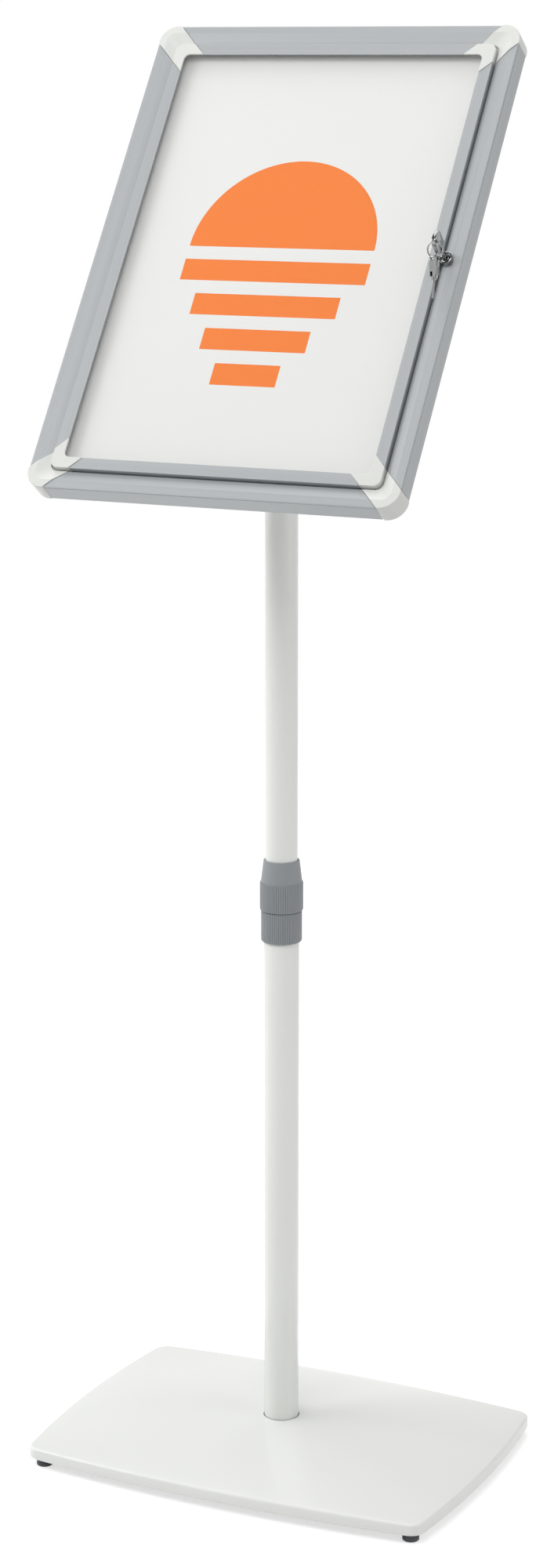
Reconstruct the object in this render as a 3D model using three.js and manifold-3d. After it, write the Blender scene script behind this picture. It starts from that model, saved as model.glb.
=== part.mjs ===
// Floor-standing lockable notice board for one A3 sheet: a crowned steel foot, a telescopic mast with a
// twist collar, and a tilting case with a glazed, locking door. Millimetres, +Z up, the viewer at -Y.
import * as THREE from 'three';
import { mergeVertices, mergeGeometries } from 'three/addons/utils/BufferGeometryUtils.js';
import Module from 'manifold-3d';

const wasm = await Module();
wasm.setup();

// Driving dimensions
const sheetWidth = 297;
const sheetHeight = 420;
const sheetCover = 5;
const leanAngle = THREE.MathUtils.degToRad(35);
const hingeHeight = 1057.5;
const lowerTubeRadius = 16;
const lowerTubeWall = 1;
const upperTubeRadius = 14.6;
const upperTubeWall = 1.2;
const footWidth = 393;
const footDepth = 272;

// Clearances and common small sizes
const fitGap = 0.3;
const overrun = 5;
const roundSegments = 48;
const hiddenSegments = 24;
const smallSegments = 16;
const tinySegments = 10;
const knuckleSides = 8;

// Frame profile, in inward distance from the outer edge and height over the rim
const rimWidth = 7.2;
const slopeWidth = 10.7;
const slopeDrop = 3.8;
const frameDepth = 21;
const frameWall = 1.5;
const doorGap = 1.5;
const doorFaceWidth = 10.6;
const doorFaceRise = 0.3;
const doorDepth = 7.5;
const ledgeTop = 7.5;
const ledgeThickness = 2.3;
const ledgeReach = 4.5;
const rearFlangeReach = 27;
const edgeFillet = 0.8;
const grooveDepth = 0.5;
const grooveTop = 1.6;
const grooveHeight = 0.8;
const grooveFlareShare = 0.25;

// Plastic corners
const cornerReach = 18;
const cornerRadius = 16;
const innerCornerRadius = 7;
const cornerProud = 0.35;
const cornerSteps = 5;
const cornerLegLength = 20;
const cornerLegDepth = 4.3;

// Door and glazing
const doorWall = 2;
const doorLip = 1.5;
const glazingThickness = 2;
const glazingSlotDepth = 2.5;
const retainerReach = 3.6;
const retainerThickness = 1.1;
const doorCornerProud = 0.2;
const doorCornerRadius = 7;
const doorInnerRadius = 5;

// Back panel and sheet
const panelEdgeGap = 0.6;
const sheetThickness = 0.3;

// Hinge
const hingeLength = 300;
const knuckleCount = 15;
const hingePinRadius = 0.45;
const barrelRadius = 1;
const hingeDrop = 2.6;
const hingeRebate = 1.2;
const hingeLipDrop = 1.2;
const leafThickness = 0.7;

// Lock
const lockInset = 13.2;
const rosetteRadius = 5.75;
const rosetteTop = 4;
const barrelLockRadius = 4.7;
const plugRadius = 3.2;
const plugRecess = 0.5;
const camDepth = 5.3;
const camThickness = 0.9;
const camReach = 8.8;
const camWidth = 5;
const camScrewRadius = 1.2;
const camScrewLength = 1.4;
const camScrewHeadRadius = 2.4;
const camScrewHeadHeight = 1.1;

// Keys
const keyBladeWidth = 4.8;
const keyBladeThickness = 1.2;
const keyBladeLength = 20;
const keyInsertion = 6.4;
const bowLength = 20.5;
const bowWidth = 14;
const bowThickness = 3.4;
const bowCorner = 4;
const bowTail = 3;
const bowSlotLength = 8;
const rivetRadius = 0.8;
const rivetHeadRadius = 1.7;
const rivetHeadHeight = 0.5;
const ringHoleRadius = 1.7;
const ringHoleAlong = 14.5;
const ringHoleAcross = 4;
const ringRadius = 6.9;
const ringWire = 0.6;
const ringWireSides = 6;
const ringSag = 0.2;
const ringOffset = 0.9;
const keyBowTilt = THREE.MathUtils.degToRad(8);
const spareBowAngle = THREE.MathUtils.degToRad(38);
const spareBladeAngle = THREE.MathUtils.degToRad(29);

// Tilt joint behind the case
const boardRise = 30.7;
const boardStandoff = 41;
const tongueWidth = 12;
const tongueRadius = 12;
const tongueStem = 34;
const tongueCollar = 3;
const mastTopDrop = 16;
const earThickness = 4;
const bracketWidth = 74;
const bracketHeight = 96;
const bracketThickness = 3;
const bracketCorner = 8;
const bracketScrewX = 27;
const bracketScrewY = 36;
const screwRadius = 2;
const screwHeadRadius = 4;
const screwHeadHeight = 2.4;
const screwCrownShare = 0.7;
const screwGrip = 7;
const tiltBoltRadius = 4;
const tiltBoltHead = 6.5;
const tiltBoltHeadHeight = 5;
const knobRadius = 14;
const knobLobes = 6;
const pointsToLobe = 5;
const knobLobeDepth = 1.8;
const knobThickness = 13;
const knobBossRadius = 8;
const knobBossLength = 6;
const knobBoltDepth = 10;

// Collar on the mast
const collarBottom = 493;
const ringTop = 521.8;
const stepHeight = 548.2;
const collarTop = 568.6;
const ringOuterRadius = 18.5;
const nutOuterRadius = 19.6;
const coneFootRadius = 18.7;
const coneTopRadius = 16.3;
const ribCount = 60;
const ribDepth = 0.4;
const collarChamfer = 1.6;
const neckRadius = 17.5;
const neckHeight = 15;
const nutShoulderDrop = 12;
const colletTaper = 0.9;
const colletSlit = 2;
const colletWall = 2.2;

// Mast
const upperTubeInsertion = 300;
const bushLength = 40;
const bushRadialGap = 0.2;

// Foot
const footBulgeFront = 11.9;
const footBulgeSide = 9.6;
const footEdge = 11;
const footCrown = 16;
const footCorner = 12;
const footFillet = 2.5;
const footChamfer = 1;
const footSkin = 6;
const padRadius = 7.5;
const padHeight = 8.8;
const padInset = 12.5;
const padChamfer = 0.8;
const padStudRadius = 3;
const padStudLength = 6;
const tubeHoleGap = 0.7;
const socketRadius = 36;
const socketThickness = 6;
const socketDrop = 1.3;
const insertLength = 36;
const baseBoltRadius = 5;
const baseBoltHeadRadius = 8.5;
const baseBoltHeadHeight = 6;
const baseBoltGrip = 24;
const recessShare = 0.84;
const crownRingShares = [0.93, 0.78, 0.56, 0.32];
const recessRingShares = [0.84, 0.56, 0.24];
const filletSteps = 2;
const outlineSteps = 5;

// Sizes that follow
const openingWidth = sheetWidth - 2 * sheetCover;
const openingHeight = sheetHeight - 2 * sheetCover;
const slopeEdge = rimWidth + slopeWidth;
const doorEdge = slopeEdge + doorGap;
const glassEdge = doorEdge + doorFaceWidth;
const caseWidth = openingWidth + 2 * glassEdge;
const caseHeight = openingHeight + 2 * glassEdge;
const ledgeEdge = slopeEdge + ledgeReach;
const slopeWallEdge = slopeEdge - frameWall;
const ledgeBottom = ledgeTop + ledgeThickness;
const panelEdge = slopeWallEdge + fitGap + panelEdgeGap;
const panelFront = ledgeBottom + fitGap;
const panelBack = frameDepth - frameWall - fitGap;
const glazingFront = doorLip - doorFaceRise + fitGap;
const glazingBack = glazingFront + glazingThickness;
const retainerTop = glazingBack + fitGap;
const retainerBottom = retainerTop + retainerThickness;
const slotEdge = doorEdge + glazingSlotDepth;
const doorBottom = doorDepth - doorFaceRise;
const hingeInset = slopeEdge + (doorGap + hingeRebate) / 2;
const tubeBottom = padHeight + footEdge + footCrown - footSkin - socketDrop + fitGap;
const plateBottom = padHeight;
const plateEdgeTop = padHeight + footEdge;
const mastTop = hingeHeight - mastTopDrop;
const lowerTubeTop = ringTop + neckHeight + fitGap;
const nutShoulder = collarTop - nutShoulderDrop;
const earOuter = tongueWidth / 2 + fitGap + earThickness;

// Materials, one for each kind of surface
function finish(color, roughness, metalness, more = {}) {
  return new THREE.MeshStandardMaterial({ color, roughness, metalness, ...more });
}
const paint = () => finish(0xe9ebe7, 0.28, 0.05);
const aluminium = () => finish(0xb0b5b7, 0.42, 0.85);
const cornerPlastic = () => finish(0xe4e6e1, 0.4, 0);
const greyPlastic = () => finish(0x949a9e, 0.5, 0);
const darkRubber = () => finish(0x4f5457, 0.8, 0);
const steel = () => finish(0xa9adb0, 0.35, 1);
const chrome = () => finish(0xc8ccd0, 0.12, 1);
const blackPlastic = () => finish(0x2b2d2f, 0.55, 0);
const clearAcrylic = () => finish(0xffffff, 0.05, 0, { transparent: true, opacity: 0.25 });
const whitePaper = () => finish(0xeeeeec, 0.85, 0);
const whitePanel = () => finish(0xe6e7e5, 0.6, 0);

// Turns a closed geometry into a solid that can be cut and joined.
function toSolid(geometry) {
  const bare = geometry.clone();
  bare.deleteAttribute('normal');
  bare.deleteAttribute('uv');
  const merged = mergeVertices(bare);
  const vertProperties = new Float32Array(merged.attributes.position.array);
  const triVerts = new Uint32Array(merged.index.array);
  return new wasm.Manifold(new wasm.Mesh({ numProp: 3, vertProperties, triVerts }));
}

// Turns a solid back into a geometry.
function toGeometry(solid) {
  const mesh = solid.getMesh();
  const geometry = new THREE.BufferGeometry();
  const places = new Float32Array(mesh.vertProperties);
  geometry.setAttribute('position', new THREE.BufferAttribute(places, 3));
  geometry.setIndex(new THREE.BufferAttribute(new Uint32Array(mesh.triVerts), 1));
  geometry.computeVertexNormals();
  return geometry;
}

// Cuts each tool out of the body.
function cut(body, ...tools) {
  let solid = toSolid(body);
  for (const tool of tools) {
    solid = solid.subtract(toSolid(tool));
  }
  return toGeometry(solid);
}

// Joins each piece to the body.
function join(body, ...pieces) {
  let solid = toSolid(body);
  for (const piece of pieces) {
    solid = solid.add(toSolid(piece));
  }
  return toGeometry(solid);
}

// Turns the faces outward where the rings ran the other way.
function outward(geometry) {
  const places = geometry.attributes.position;
  const index = geometry.index;
  const [a, b, c] = [new THREE.Vector3(), new THREE.Vector3(), new THREE.Vector3()];
  let volume = 0;
  for (let i = 0; i < index.count; i += 3) {
    a.fromBufferAttribute(places, index.getX(i));
    b.fromBufferAttribute(places, index.getX(i + 1));
    c.fromBufferAttribute(places, index.getX(i + 2));
    volume += a.dot(b.cross(c));
  }
  if (volume < 0) {
    for (let i = 0; i < index.count; i += 3) {
      const first = index.getX(i);
      index.setX(i, index.getX(i + 1));
      index.setX(i + 1, first);
    }
  }
  geometry.computeVertexNormals();
  return geometry;
}

// Joins rings of points, all of one count, into a closed body. Each end is capped on its flat outline.
function loft(rings, firstOutline, lastOutline = firstOutline) {
  const count = rings[0].length;
  const places = rings.flat().flatMap((p) => [p.x, p.y, p.z]);
  const index = [];
  for (let ring = 0; ring + 1 < rings.length; ring += 1) {
    for (let k = 0; k < count; k += 1) {
      const next = (k + 1) % count;
      const low = ring * count;
      const high = low + count;
      index.push(low + k, low + next, high + next);
      index.push(low + k, high + next, high + k);
    }
  }
  const caps = [[firstOutline, 0, true], [lastOutline, (rings.length - 1) * count, false]];
  for (const [outline, start, first] of caps) {
    const turned = THREE.ShapeUtils.isClockWise(outline);
    for (const [i, j, k] of THREE.ShapeUtils.triangulateShape(outline, [])) {
      const flip = first !== turned;
      index.push(start + i, start + (flip ? k : j), start + (flip ? j : k));
    }
  }
  const geometry = new THREE.BufferGeometry();
  geometry.setAttribute('position', new THREE.Float32BufferAttribute(places, 3));
  geometry.setIndex(index);
  return outward(geometry);
}

// A closed profile of [radius, height] pairs, turned about +Z.
function turned(profile, segments = roundSegments) {
  const points = profile.map(([radius, height]) => new THREE.Vector2(radius, height));
  points.push(points[0].clone());
  const geometry = new THREE.LatheGeometry(points, segments);
  geometry.rotateX(Math.PI / 2);
  return outward(mergeVertices(stripped(geometry)));
}

function stripped(geometry) {
  geometry.deleteAttribute('normal');
  geometry.deleteAttribute('uv');
  return geometry;
}

// A tube or ring about +Z.
function tube(outerRadius, innerRadius, bottom, top, segments = roundSegments) {
  return turned([
    [innerRadius, bottom],
    [outerRadius, bottom],
    [outerRadius, top],
    [innerRadius, top],
  ], segments);
}

// A solid round bar about +Z.
function bar(radius, bottom, top, segments = roundSegments) {
  const geometry = new THREE.CylinderGeometry(radius, radius, top - bottom, segments);
  geometry.rotateX(Math.PI / 2);
  geometry.translate(0, 0, (top + bottom) / 2);
  return geometry;
}

// A box between two corners.
function block(x0, x1, y0, y1, z0, z1) {
  const geometry = new THREE.BoxGeometry(x1 - x0, y1 - y0, z1 - z0);
  geometry.translate((x0 + x1) / 2, (y0 + y1) / 2, (z0 + z1) / 2);
  return geometry;
}

// An outline pushed up from one height to another.
function plate(shape, bottom, top, curveSegments = 8) {
  const options = { depth: top - bottom, bevelEnabled: false, curveSegments };
  const geometry = new THREE.ExtrudeGeometry(shape, options);
  geometry.translate(0, 0, bottom);
  return geometry;
}

// A rectangle with rounded corners, centred on the origin.
function roundedRectangle(width, height, radius) {
  const [x, y] = [width / 2, height / 2];
  const shape = new THREE.Shape();
  shape.moveTo(x, -y + radius);
  shape.absarc(x - radius, y - radius, radius, 0, Math.PI / 2);
  shape.absarc(-x + radius, y - radius, radius, Math.PI / 2, Math.PI);
  shape.absarc(-x + radius, -y + radius, radius, Math.PI, 1.5 * Math.PI);
  shape.absarc(x - radius, -y + radius, radius, 1.5 * Math.PI, 2 * Math.PI);
  return shape;
}

function named(name, geometry, material) {
  const mesh = new THREE.Mesh(geometry, material);
  mesh.name = name;
  return mesh;
}

// Places a copy of a geometry.
function moved(geometry, x, y, z) {
  return geometry.clone().translate(x, y, z);
}

// Foot: the bowed outline, moved in by an inset
function footOutline(inset) {
  const x = footWidth / 2 - inset;
  const y = footDepth / 2 - inset;
  const corner = footCorner - inset / 2;
  const shape = new THREE.Shape();
  const [runX, runY] = [x - corner, y - corner];
  const endX = x + footBulgeSide * (1 - (runY / y) ** 2);
  const endY = y + footBulgeFront * (1 - (runX / x) ** 2);
  const bowX = x + footBulgeSide * (1 + (runY / y) ** 2);
  const bowY = y + footBulgeFront * (1 + (runX / x) ** 2);
  shape.moveTo(-runX, -endY);
  shape.quadraticCurveTo(0, -bowY, runX, -endY);
  shape.quadraticCurveTo(x, -y, endX, -runY);
  shape.quadraticCurveTo(bowX, 0, endX, runY);
  shape.quadraticCurveTo(x, y, runX, endY);
  shape.quadraticCurveTo(0, bowY, -runX, endY);
  shape.quadraticCurveTo(-x, y, -endX, runY);
  shape.quadraticCurveTo(-bowX, 0, -endX, -runY);
  shape.quadraticCurveTo(-x, -y, -runX, -endY);
  const points = shape.getPoints(outlineSteps);
  points.pop();
  return points;
}

// How far the foot's top rises over its edge at a place.
function crownAt(x, y) {
  const [halfX, halfY] = [footWidth / 2, footDepth / 2];
  const u = x / (halfX + footBulgeSide * (1 - (y / halfY) ** 2));
  const v = y / (halfY + footBulgeFront * (1 - (x / halfX) ** 2));
  return footCrown * Math.max(1 - u * u, 0) * Math.max(1 - v * v, 0);
}

function footRing(outline, share, heightAt) {
  return outline.map((p) => {
    const [x, y] = [p.x * share, p.y * share];
    return new THREE.Vector3(x, y, heightAt(x, y));
  });
}

function basePlate() {
  const edge = footOutline(0);
  const filleted = footOutline(footFillet);
  const rings = [
    footRing(footOutline(footChamfer), 1, () => plateBottom),
    footRing(edge, 1, () => plateBottom + footChamfer),
  ];
  for (let k = 0; k <= filletSteps; k += 1) {
    const turn = (k / filletSteps) * (Math.PI / 2);
    const inset = footFillet * (1 - Math.cos(turn));
    const drop = footFillet * (1 - Math.sin(turn));
    rings.push(footRing(footOutline(inset), 1, (x, y) => plateEdgeTop + crownAt(x, y) - drop));
  }
  for (const share of crownRingShares) {
    rings.push(footRing(filleted, share, (x, y) => plateEdgeTop + crownAt(x, y)));
  }
  const body = loft(rings, footOutline(footChamfer), filleted);
  const hollow = loft([
    footRing(edge, recessShare, () => plateBottom - overrun),
    ...recessRingShares.map((share) => (
      footRing(edge, share, (x, y) => plateEdgeTop + crownAt(x, y) - footSkin)
    )),
  ], edge);
  const seat = bar(socketRadius + fitGap, 0, tubeBottom, hiddenSegments);
  const tubeHole = bar(lowerTubeRadius + tubeHoleGap, 0, plateEdgeTop + footCrown + overrun);
  const tools = [hollow, seat, tubeHole];
  for (const [x, y] of padPlaces()) {
    const stud = bar(padStudRadius + fitGap, 0, plateBottom + padStudLength + fitGap, smallSegments);
    tools.push(moved(stud, x, y, 0));
  }
  return cut(body, ...tools);
}

function padPlaces() {
  const x = footWidth / 2 - padInset;
  const y = footDepth / 2 - padInset;
  return [[-x, -y], [x, -y], [-x, y], [x, y]];
}

function footPad() {
  return turned([
    [0, 0],
    [padRadius - padChamfer, 0],
    [padRadius, padChamfer],
    [padRadius, padHeight - fitGap],
    [padStudRadius, padHeight - fitGap],
    [padStudRadius, plateBottom + padStudLength],
    [0, plateBottom + padStudLength],
  ], smallSegments);
}

function buildFoot() {
  const foot = new THREE.Group();
  foot.add(named('base_plate', basePlate(), paint()));
  const names = ['foot_front_left', 'foot_front_right', 'foot_rear_left', 'foot_rear_right'];
  padPlaces().forEach(([x, y], k) => {
    const pad = named(names[k], footPad(), darkRubber());
    pad.position.set(x, y, 0);
    foot.add(pad);
  });
  const discTop = tubeBottom - fitGap;
  const discBottom = discTop - socketThickness;
  const boltBore = baseBoltRadius + fitGap;
  foot.add(named('socket_disc', tube(socketRadius, boltBore, discBottom, discTop, hiddenSegments), steel()));
  const tubeBore = lowerTubeRadius - lowerTubeWall;
  const insert = tube(tubeBore - fitGap, boltBore, tubeBottom, tubeBottom + insertLength, hiddenSegments);
  foot.add(named('tube_insert', insert, greyPlastic()));
  const headTop = discBottom - fitGap;
  const bolt = turned([
    [0, headTop - baseBoltHeadHeight],
    [baseBoltHeadRadius - padChamfer, headTop - baseBoltHeadHeight],
    [baseBoltHeadRadius, headTop - baseBoltHeadHeight + padChamfer],
    [baseBoltHeadRadius, headTop],
    [baseBoltRadius, headTop],
    [baseBoltRadius, tubeBottom + baseBoltGrip],
    [0, tubeBottom + baseBoltGrip],
  ], smallSegments);
  foot.add(named('base_bolt', bolt, steel()));
  return foot;
}

// Mast and collar
function ribRing(outerRadius, depth, height) {
  const points = [];
  for (let k = 0; k < 2 * ribCount; k += 1) {
    const turn = (k / ribCount) * Math.PI;
    const radius = k % 2 ? outerRadius - depth : outerRadius;
    points.push(new THREE.Vector3(radius * Math.cos(turn), radius * Math.sin(turn), height));
  }
  return points;
}

// A ring with ribs along its height, chamfered at its foot.
function ribbedRing(outerRadius, innerRadius, bottom, top) {
  const foot = ribRing(outerRadius - collarChamfer, 0, bottom);
  const head = ribRing(outerRadius, ribDepth, top);
  const body = loft(
    [foot, ribRing(outerRadius, ribDepth, bottom + collarChamfer), head],
    foot.map((p) => new THREE.Vector2(p.x, p.y)),
    head.map((p) => new THREE.Vector2(p.x, p.y)),
  );
  return cut(body, bar(innerRadius, bottom - overrun, top + overrun, hiddenSegments));
}

function collarRing() {
  const bore = lowerTubeRadius + fitGap;
  const grip = ribbedRing(ringOuterRadius, bore, collarBottom, ringTop - fitGap);
  const neck = tube(neckRadius, bore, ringTop - overrun, ringTop + neckHeight, hiddenSegments);
  return join(grip, neck);
}

function clampNut() {
  const bore = neckRadius + fitGap;
  const tubeClear = upperTubeRadius + fitGap;
  const grip = ribbedRing(nutOuterRadius, bore, ringTop, stepHeight);
  const shell = turned([
    [bore, ringTop + collarChamfer],
    [coneFootRadius, ringTop + collarChamfer],
    [coneFootRadius, stepHeight],
    [coneTopRadius, collarTop],
    [tubeClear, collarTop],
    [tubeClear, nutShoulder],
    [bore - colletTaper, nutShoulder],
    [bore, lowerTubeTop],
  ], roundSegments);
  return join(grip, shell);
}

function collet() {
  const bottom = lowerTubeTop + fitGap;
  const top = nutShoulder - fitGap;
  const body = turned([
    [neckRadius - colletWall, bottom],
    [neckRadius, bottom],
    [neckRadius - colletTaper, top],
    [upperTubeRadius + fitGap, top],
    [upperTubeRadius + fitGap, bottom + colletWall],
  ], hiddenSegments);
  const slit = block(-colletSlit / 2, colletSlit / 2, 0, neckRadius + overrun, bottom - overrun, top + overrun);
  return cut(body, slit);
}

function tiltTongue() {
  const stemRadius = upperTubeRadius - upperTubeWall - fitGap;
  const stem = turned([
    [0, mastTop - tongueStem],
    [stemRadius, mastTop - tongueStem],
    [stemRadius, mastTop + fitGap],
    [upperTubeRadius, mastTop + fitGap],
    [upperTubeRadius, mastTop + tongueCollar],
    [0, mastTop + tongueCollar],
  ], hiddenSegments);
  const outline = new THREE.Shape();
  outline.moveTo(-tongueRadius, mastTop + tongueCollar / 2);
  outline.lineTo(tongueRadius, mastTop + tongueCollar / 2);
  outline.lineTo(tongueRadius, hingeHeight);
  outline.absarc(0, hingeHeight, tongueRadius, 0, Math.PI);
  const blade = across(outline, tongueWidth, tinySegments);
  const bore = alongX(bar(tiltBoltRadius + fitGap, -tongueWidth, tongueWidth, smallSegments));
  return cut(join(stem, blade), bore.translate(0, 0, hingeHeight));
}

// Stands an outline drawn as [across, up] in the Y-Z plane, centred on X.
function across(shape, thickness, curveSegments = 8) {
  const geometry = plate(shape, -thickness / 2, thickness / 2, curveSegments);
  return geometry.applyMatrix4(new THREE.Matrix4().makeBasis(
    new THREE.Vector3(0, 1, 0),
    new THREE.Vector3(0, 0, 1),
    new THREE.Vector3(1, 0, 0),
  ));
}

// Lays a body that was made about +Z along +X.
function alongX(geometry) {
  return geometry.rotateY(Math.PI / 2);
}

function buildMast() {
  const mast = new THREE.Group();
  const lowerBore = lowerTubeRadius - lowerTubeWall;
  const upperBore = upperTubeRadius - upperTubeWall;
  const upperBottom = collarTop - upperTubeInsertion;
  const lowerTube = tube(lowerTubeRadius, lowerBore, tubeBottom, lowerTubeTop);
  mast.add(named('lower_tube', lowerTube, paint()));
  mast.add(named('collar_ring', collarRing(), greyPlastic()));
  mast.add(named('clamp_nut', clampNut(), greyPlastic()));
  mast.add(named('collet', collet(), greyPlastic()));
  mast.add(named('upper_tube', tube(upperTubeRadius, upperBore, upperBottom, mastTop), paint()));
  const bush = turned([
    [upperBore - colletWall, upperBottom - tongueCollar],
    [lowerBore - bushRadialGap, upperBottom - tongueCollar],
    [lowerBore - bushRadialGap, upperBottom - fitGap],
    [upperBore - fitGap, upperBottom - fitGap],
    [upperBore - fitGap, upperBottom + bushLength],
    [upperBore - colletWall, upperBottom + bushLength],
  ], hiddenSegments);
  mast.add(named('guide_bush', bush, greyPlastic()));
  mast.add(named('tilt_tongue', tiltTongue(), greyPlastic()));
  return mast;
}

// Case: a section is a list of [inward distance, height over the rim]
function frameSection() {
  return [
    [0, -frameDepth],
    [rearFlangeReach, -frameDepth],
    [rearFlangeReach, -frameDepth + frameWall],
    [frameWall, -frameDepth + frameWall],
    [frameWall, -frameWall],
    [rimWidth, -frameWall],
    [slopeWallEdge, -slopeDrop - frameWall / 2],
    [slopeWallEdge, -ledgeBottom],
    [ledgeEdge, -ledgeBottom],
    [ledgeEdge, -ledgeTop],
    [slopeEdge, -ledgeTop],
    [slopeEdge, -slopeDrop],
    [rimWidth, 0],
    [edgeFillet, 0],
    [edgeFillet / 4, -edgeFillet / 4],
    [0, -edgeFillet],
    [0, -grooveTop],
    [grooveDepth, -grooveTop - grooveHeight * grooveFlareShare],
    [grooveDepth, -grooveTop - grooveHeight * (1 - grooveFlareShare)],
    [0, -grooveTop - grooveHeight],
  ];
}

function frameCornerSection() {
  return [
    [-cornerProud, -frameDepth - cornerProud],
    [rearFlangeReach, -frameDepth - cornerProud],
    [rearFlangeReach, -frameDepth + frameWall],
    [slopeWallEdge + fitGap, -frameDepth + frameWall],
    [slopeWallEdge + fitGap, -ledgeBottom],
    [ledgeEdge, -ledgeBottom],
    [ledgeEdge, -ledgeTop],
    [slopeEdge, -ledgeTop],
    [slopeEdge, -slopeDrop],
    [rimWidth, cornerProud],
    [edgeFillet, cornerProud],
    [edgeFillet / 4 - cornerProud, cornerProud - edgeFillet / 4],
    [-cornerProud, cornerProud - edgeFillet],
  ];
}

function doorSection(rise) {
  const face = doorFaceRise + rise;
  const fillet = edgeFillet / 2;
  return [
    [doorEdge, -doorBottom],
    [doorEdge, face - fillet],
    [doorEdge + fillet / 4, face - fillet / 4],
    [doorEdge + fillet, face],
    [glassEdge - fillet, face],
    [glassEdge - fillet / 4, face - fillet / 4],
    [glassEdge, face - fillet],
    [glassEdge, doorFaceRise - doorLip],
    [slotEdge, doorFaceRise - doorLip],
    [slotEdge, -retainerTop],
    [slotEdge + retainerReach, -retainerTop],
    [slotEdge + retainerReach, -retainerBottom],
    [doorEdge + doorWall, -retainerBottom],
    [doorEdge + doorWall, -doorBottom],
  ];
}

// A straight member on the right of the case, its ends cut alongside the corners' mitres.
function member(section, halfLength) {
  const ring = (side) => section.map(([inward, height]) => (
    new THREE.Vector3(-inward, side * (halfLength - inward - cornerReach - fitGap), height)
  ));
  const outline = section.map(([inward, height]) => new THREE.Vector2(-inward, height));
  return loft([ring(-1), ring(1)], outline);
}

// A corner piece whose outer corner is the origin: each depth of the section turns on its own radius.
function corner(section, radiusAt) {
  const rings = [section.map(([inward, height]) => (
    new THREE.Vector3(-inward, -inward - cornerReach, height)
  ))];
  for (let k = 0; k <= cornerSteps; k += 1) {
    const turn = (k / cornerSteps) * (Math.PI / 2);
    rings.push(section.map(([inward, height]) => {
      const radius = radiusAt(inward);
      const centre = -inward - radius;
      return new THREE.Vector3(
        centre + radius * Math.cos(turn),
        centre + radius * Math.sin(turn),
        height,
      );
    }));
  }
  rings.push(section.map(([inward, height]) => (
    new THREE.Vector3(-inward - cornerReach, -inward, height)
  )));
  const outline = section.map(([inward, height]) => new THREE.Vector2(-inward, height));
  return loft(rings, outline);
}

// A frame corner with its two legs, which plug into the hollow profiles.
function frameCorner() {
  const body = corner(frameCornerSection(), (inward) => Math.max(cornerRadius - inward, innerCornerRadius));
  const legEnd = cornerReach + slopeWallEdge + cornerLegLength;
  const legTop = -slopeDrop - frameWall;
  const inner = slopeWallEdge - fitGap;
  const outer = frameWall + fitGap;
  const down = block(-inner, -outer, -legEnd, -cornerReach, legTop - cornerLegDepth, legTop);
  const left = block(-legEnd, -cornerReach, -inner, -outer, legTop - cornerLegDepth, legTop);
  return join(body, down, left);
}

function doorCorner() {
  const section = doorSection(doorCornerProud);
  const radiusAt = (inward) => Math.max(doorCornerRadius + doorEdge - inward, doorInnerRadius);
  return corner(section, radiusAt);
}

const sideNames = ['right', 'top', 'left', 'bottom'];
const cornerNames = ['top_right', 'top_left', 'bottom_left', 'bottom_right'];

// Sets a member or a corner on side k, counted anticlockwise from the right or the top right.
function onSide(mesh, k) {
  const [x, y] = [caseWidth / 2, caseHeight / 2];
  mesh.position.set([x, 0, -x, 0][k], [0, y, 0, -y][k], 0);
  mesh.rotation.z = (k * Math.PI) / 2;
  return mesh;
}

function onCorner(mesh, k) {
  const [x, y] = [caseWidth / 2, caseHeight / 2];
  mesh.position.set([x, -x, -x, x][k], [y, y, -y, -y][k], 0);
  mesh.rotation.z = (k * Math.PI) / 2;
  return mesh;
}

function halfLengthOf(k) {
  return k % 2 ? caseWidth / 2 : caseHeight / 2;
}

// The slot that the cam's finger passes on its quarter turn from hanging down to pointing at the door.
function camSlot(from, to, sweep) {
  const half = camWidth / 2 + fitGap;
  return block(-to, -from, -sweep, half, -camDepth - camThickness - fitGap, -camDepth + fitGap);
}

function frameMember(k) {
  const body = member(frameSection(), halfLengthOf(k));
  if (sideNames[k] !== 'right') {
    return body;
  }
  const hole = moved(bar(barrelLockRadius + fitGap, -camDepth, overrun, hiddenSegments), -lockInset, 0, 0);
  return cut(body, hole, camSlot(lockInset, slopeEdge + fitGap, camReach + camWidth / 2));
}

function doorMember(k) {
  const body = member(doorSection(0), halfLengthOf(k));
  if (sideNames[k] === 'right') {
    return cut(body, camSlot(doorEdge - overrun, doorEdge + doorWall + fitGap, camReach));
  }
  if (sideNames[k] === 'left') {
    const half = hingeLength / 2 + fitGap;
    const rebate = block(
      -doorEdge - hingeRebate, -doorEdge + overrun, -half, half,
      -doorBottom - overrun, -hingeLipDrop,
    );
    return cut(body, rebate);
  }
  return body;
}

function backPanel() {
  const width = caseWidth - 2 * panelEdge;
  const height = caseHeight - 2 * panelEdge;
  const body = plate(roundedRectangle(width, height, innerCornerRadius), -panelBack, -panelFront);
  const tools = screwPlaces().map(([x, y]) => (
    moved(bar(screwRadius + fitGap, -panelBack - overrun, -panelBack + screwGrip, smallSegments), x, y, 0)
  ));
  return cut(body, ...tools);
}

function glazing() {
  const inset = slotEdge + fitGap;
  const shape = roundedRectangle(caseWidth - 2 * inset, caseHeight - 2 * inset, doorInnerRadius);
  return plate(shape, -glazingBack, -glazingFront);
}

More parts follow.
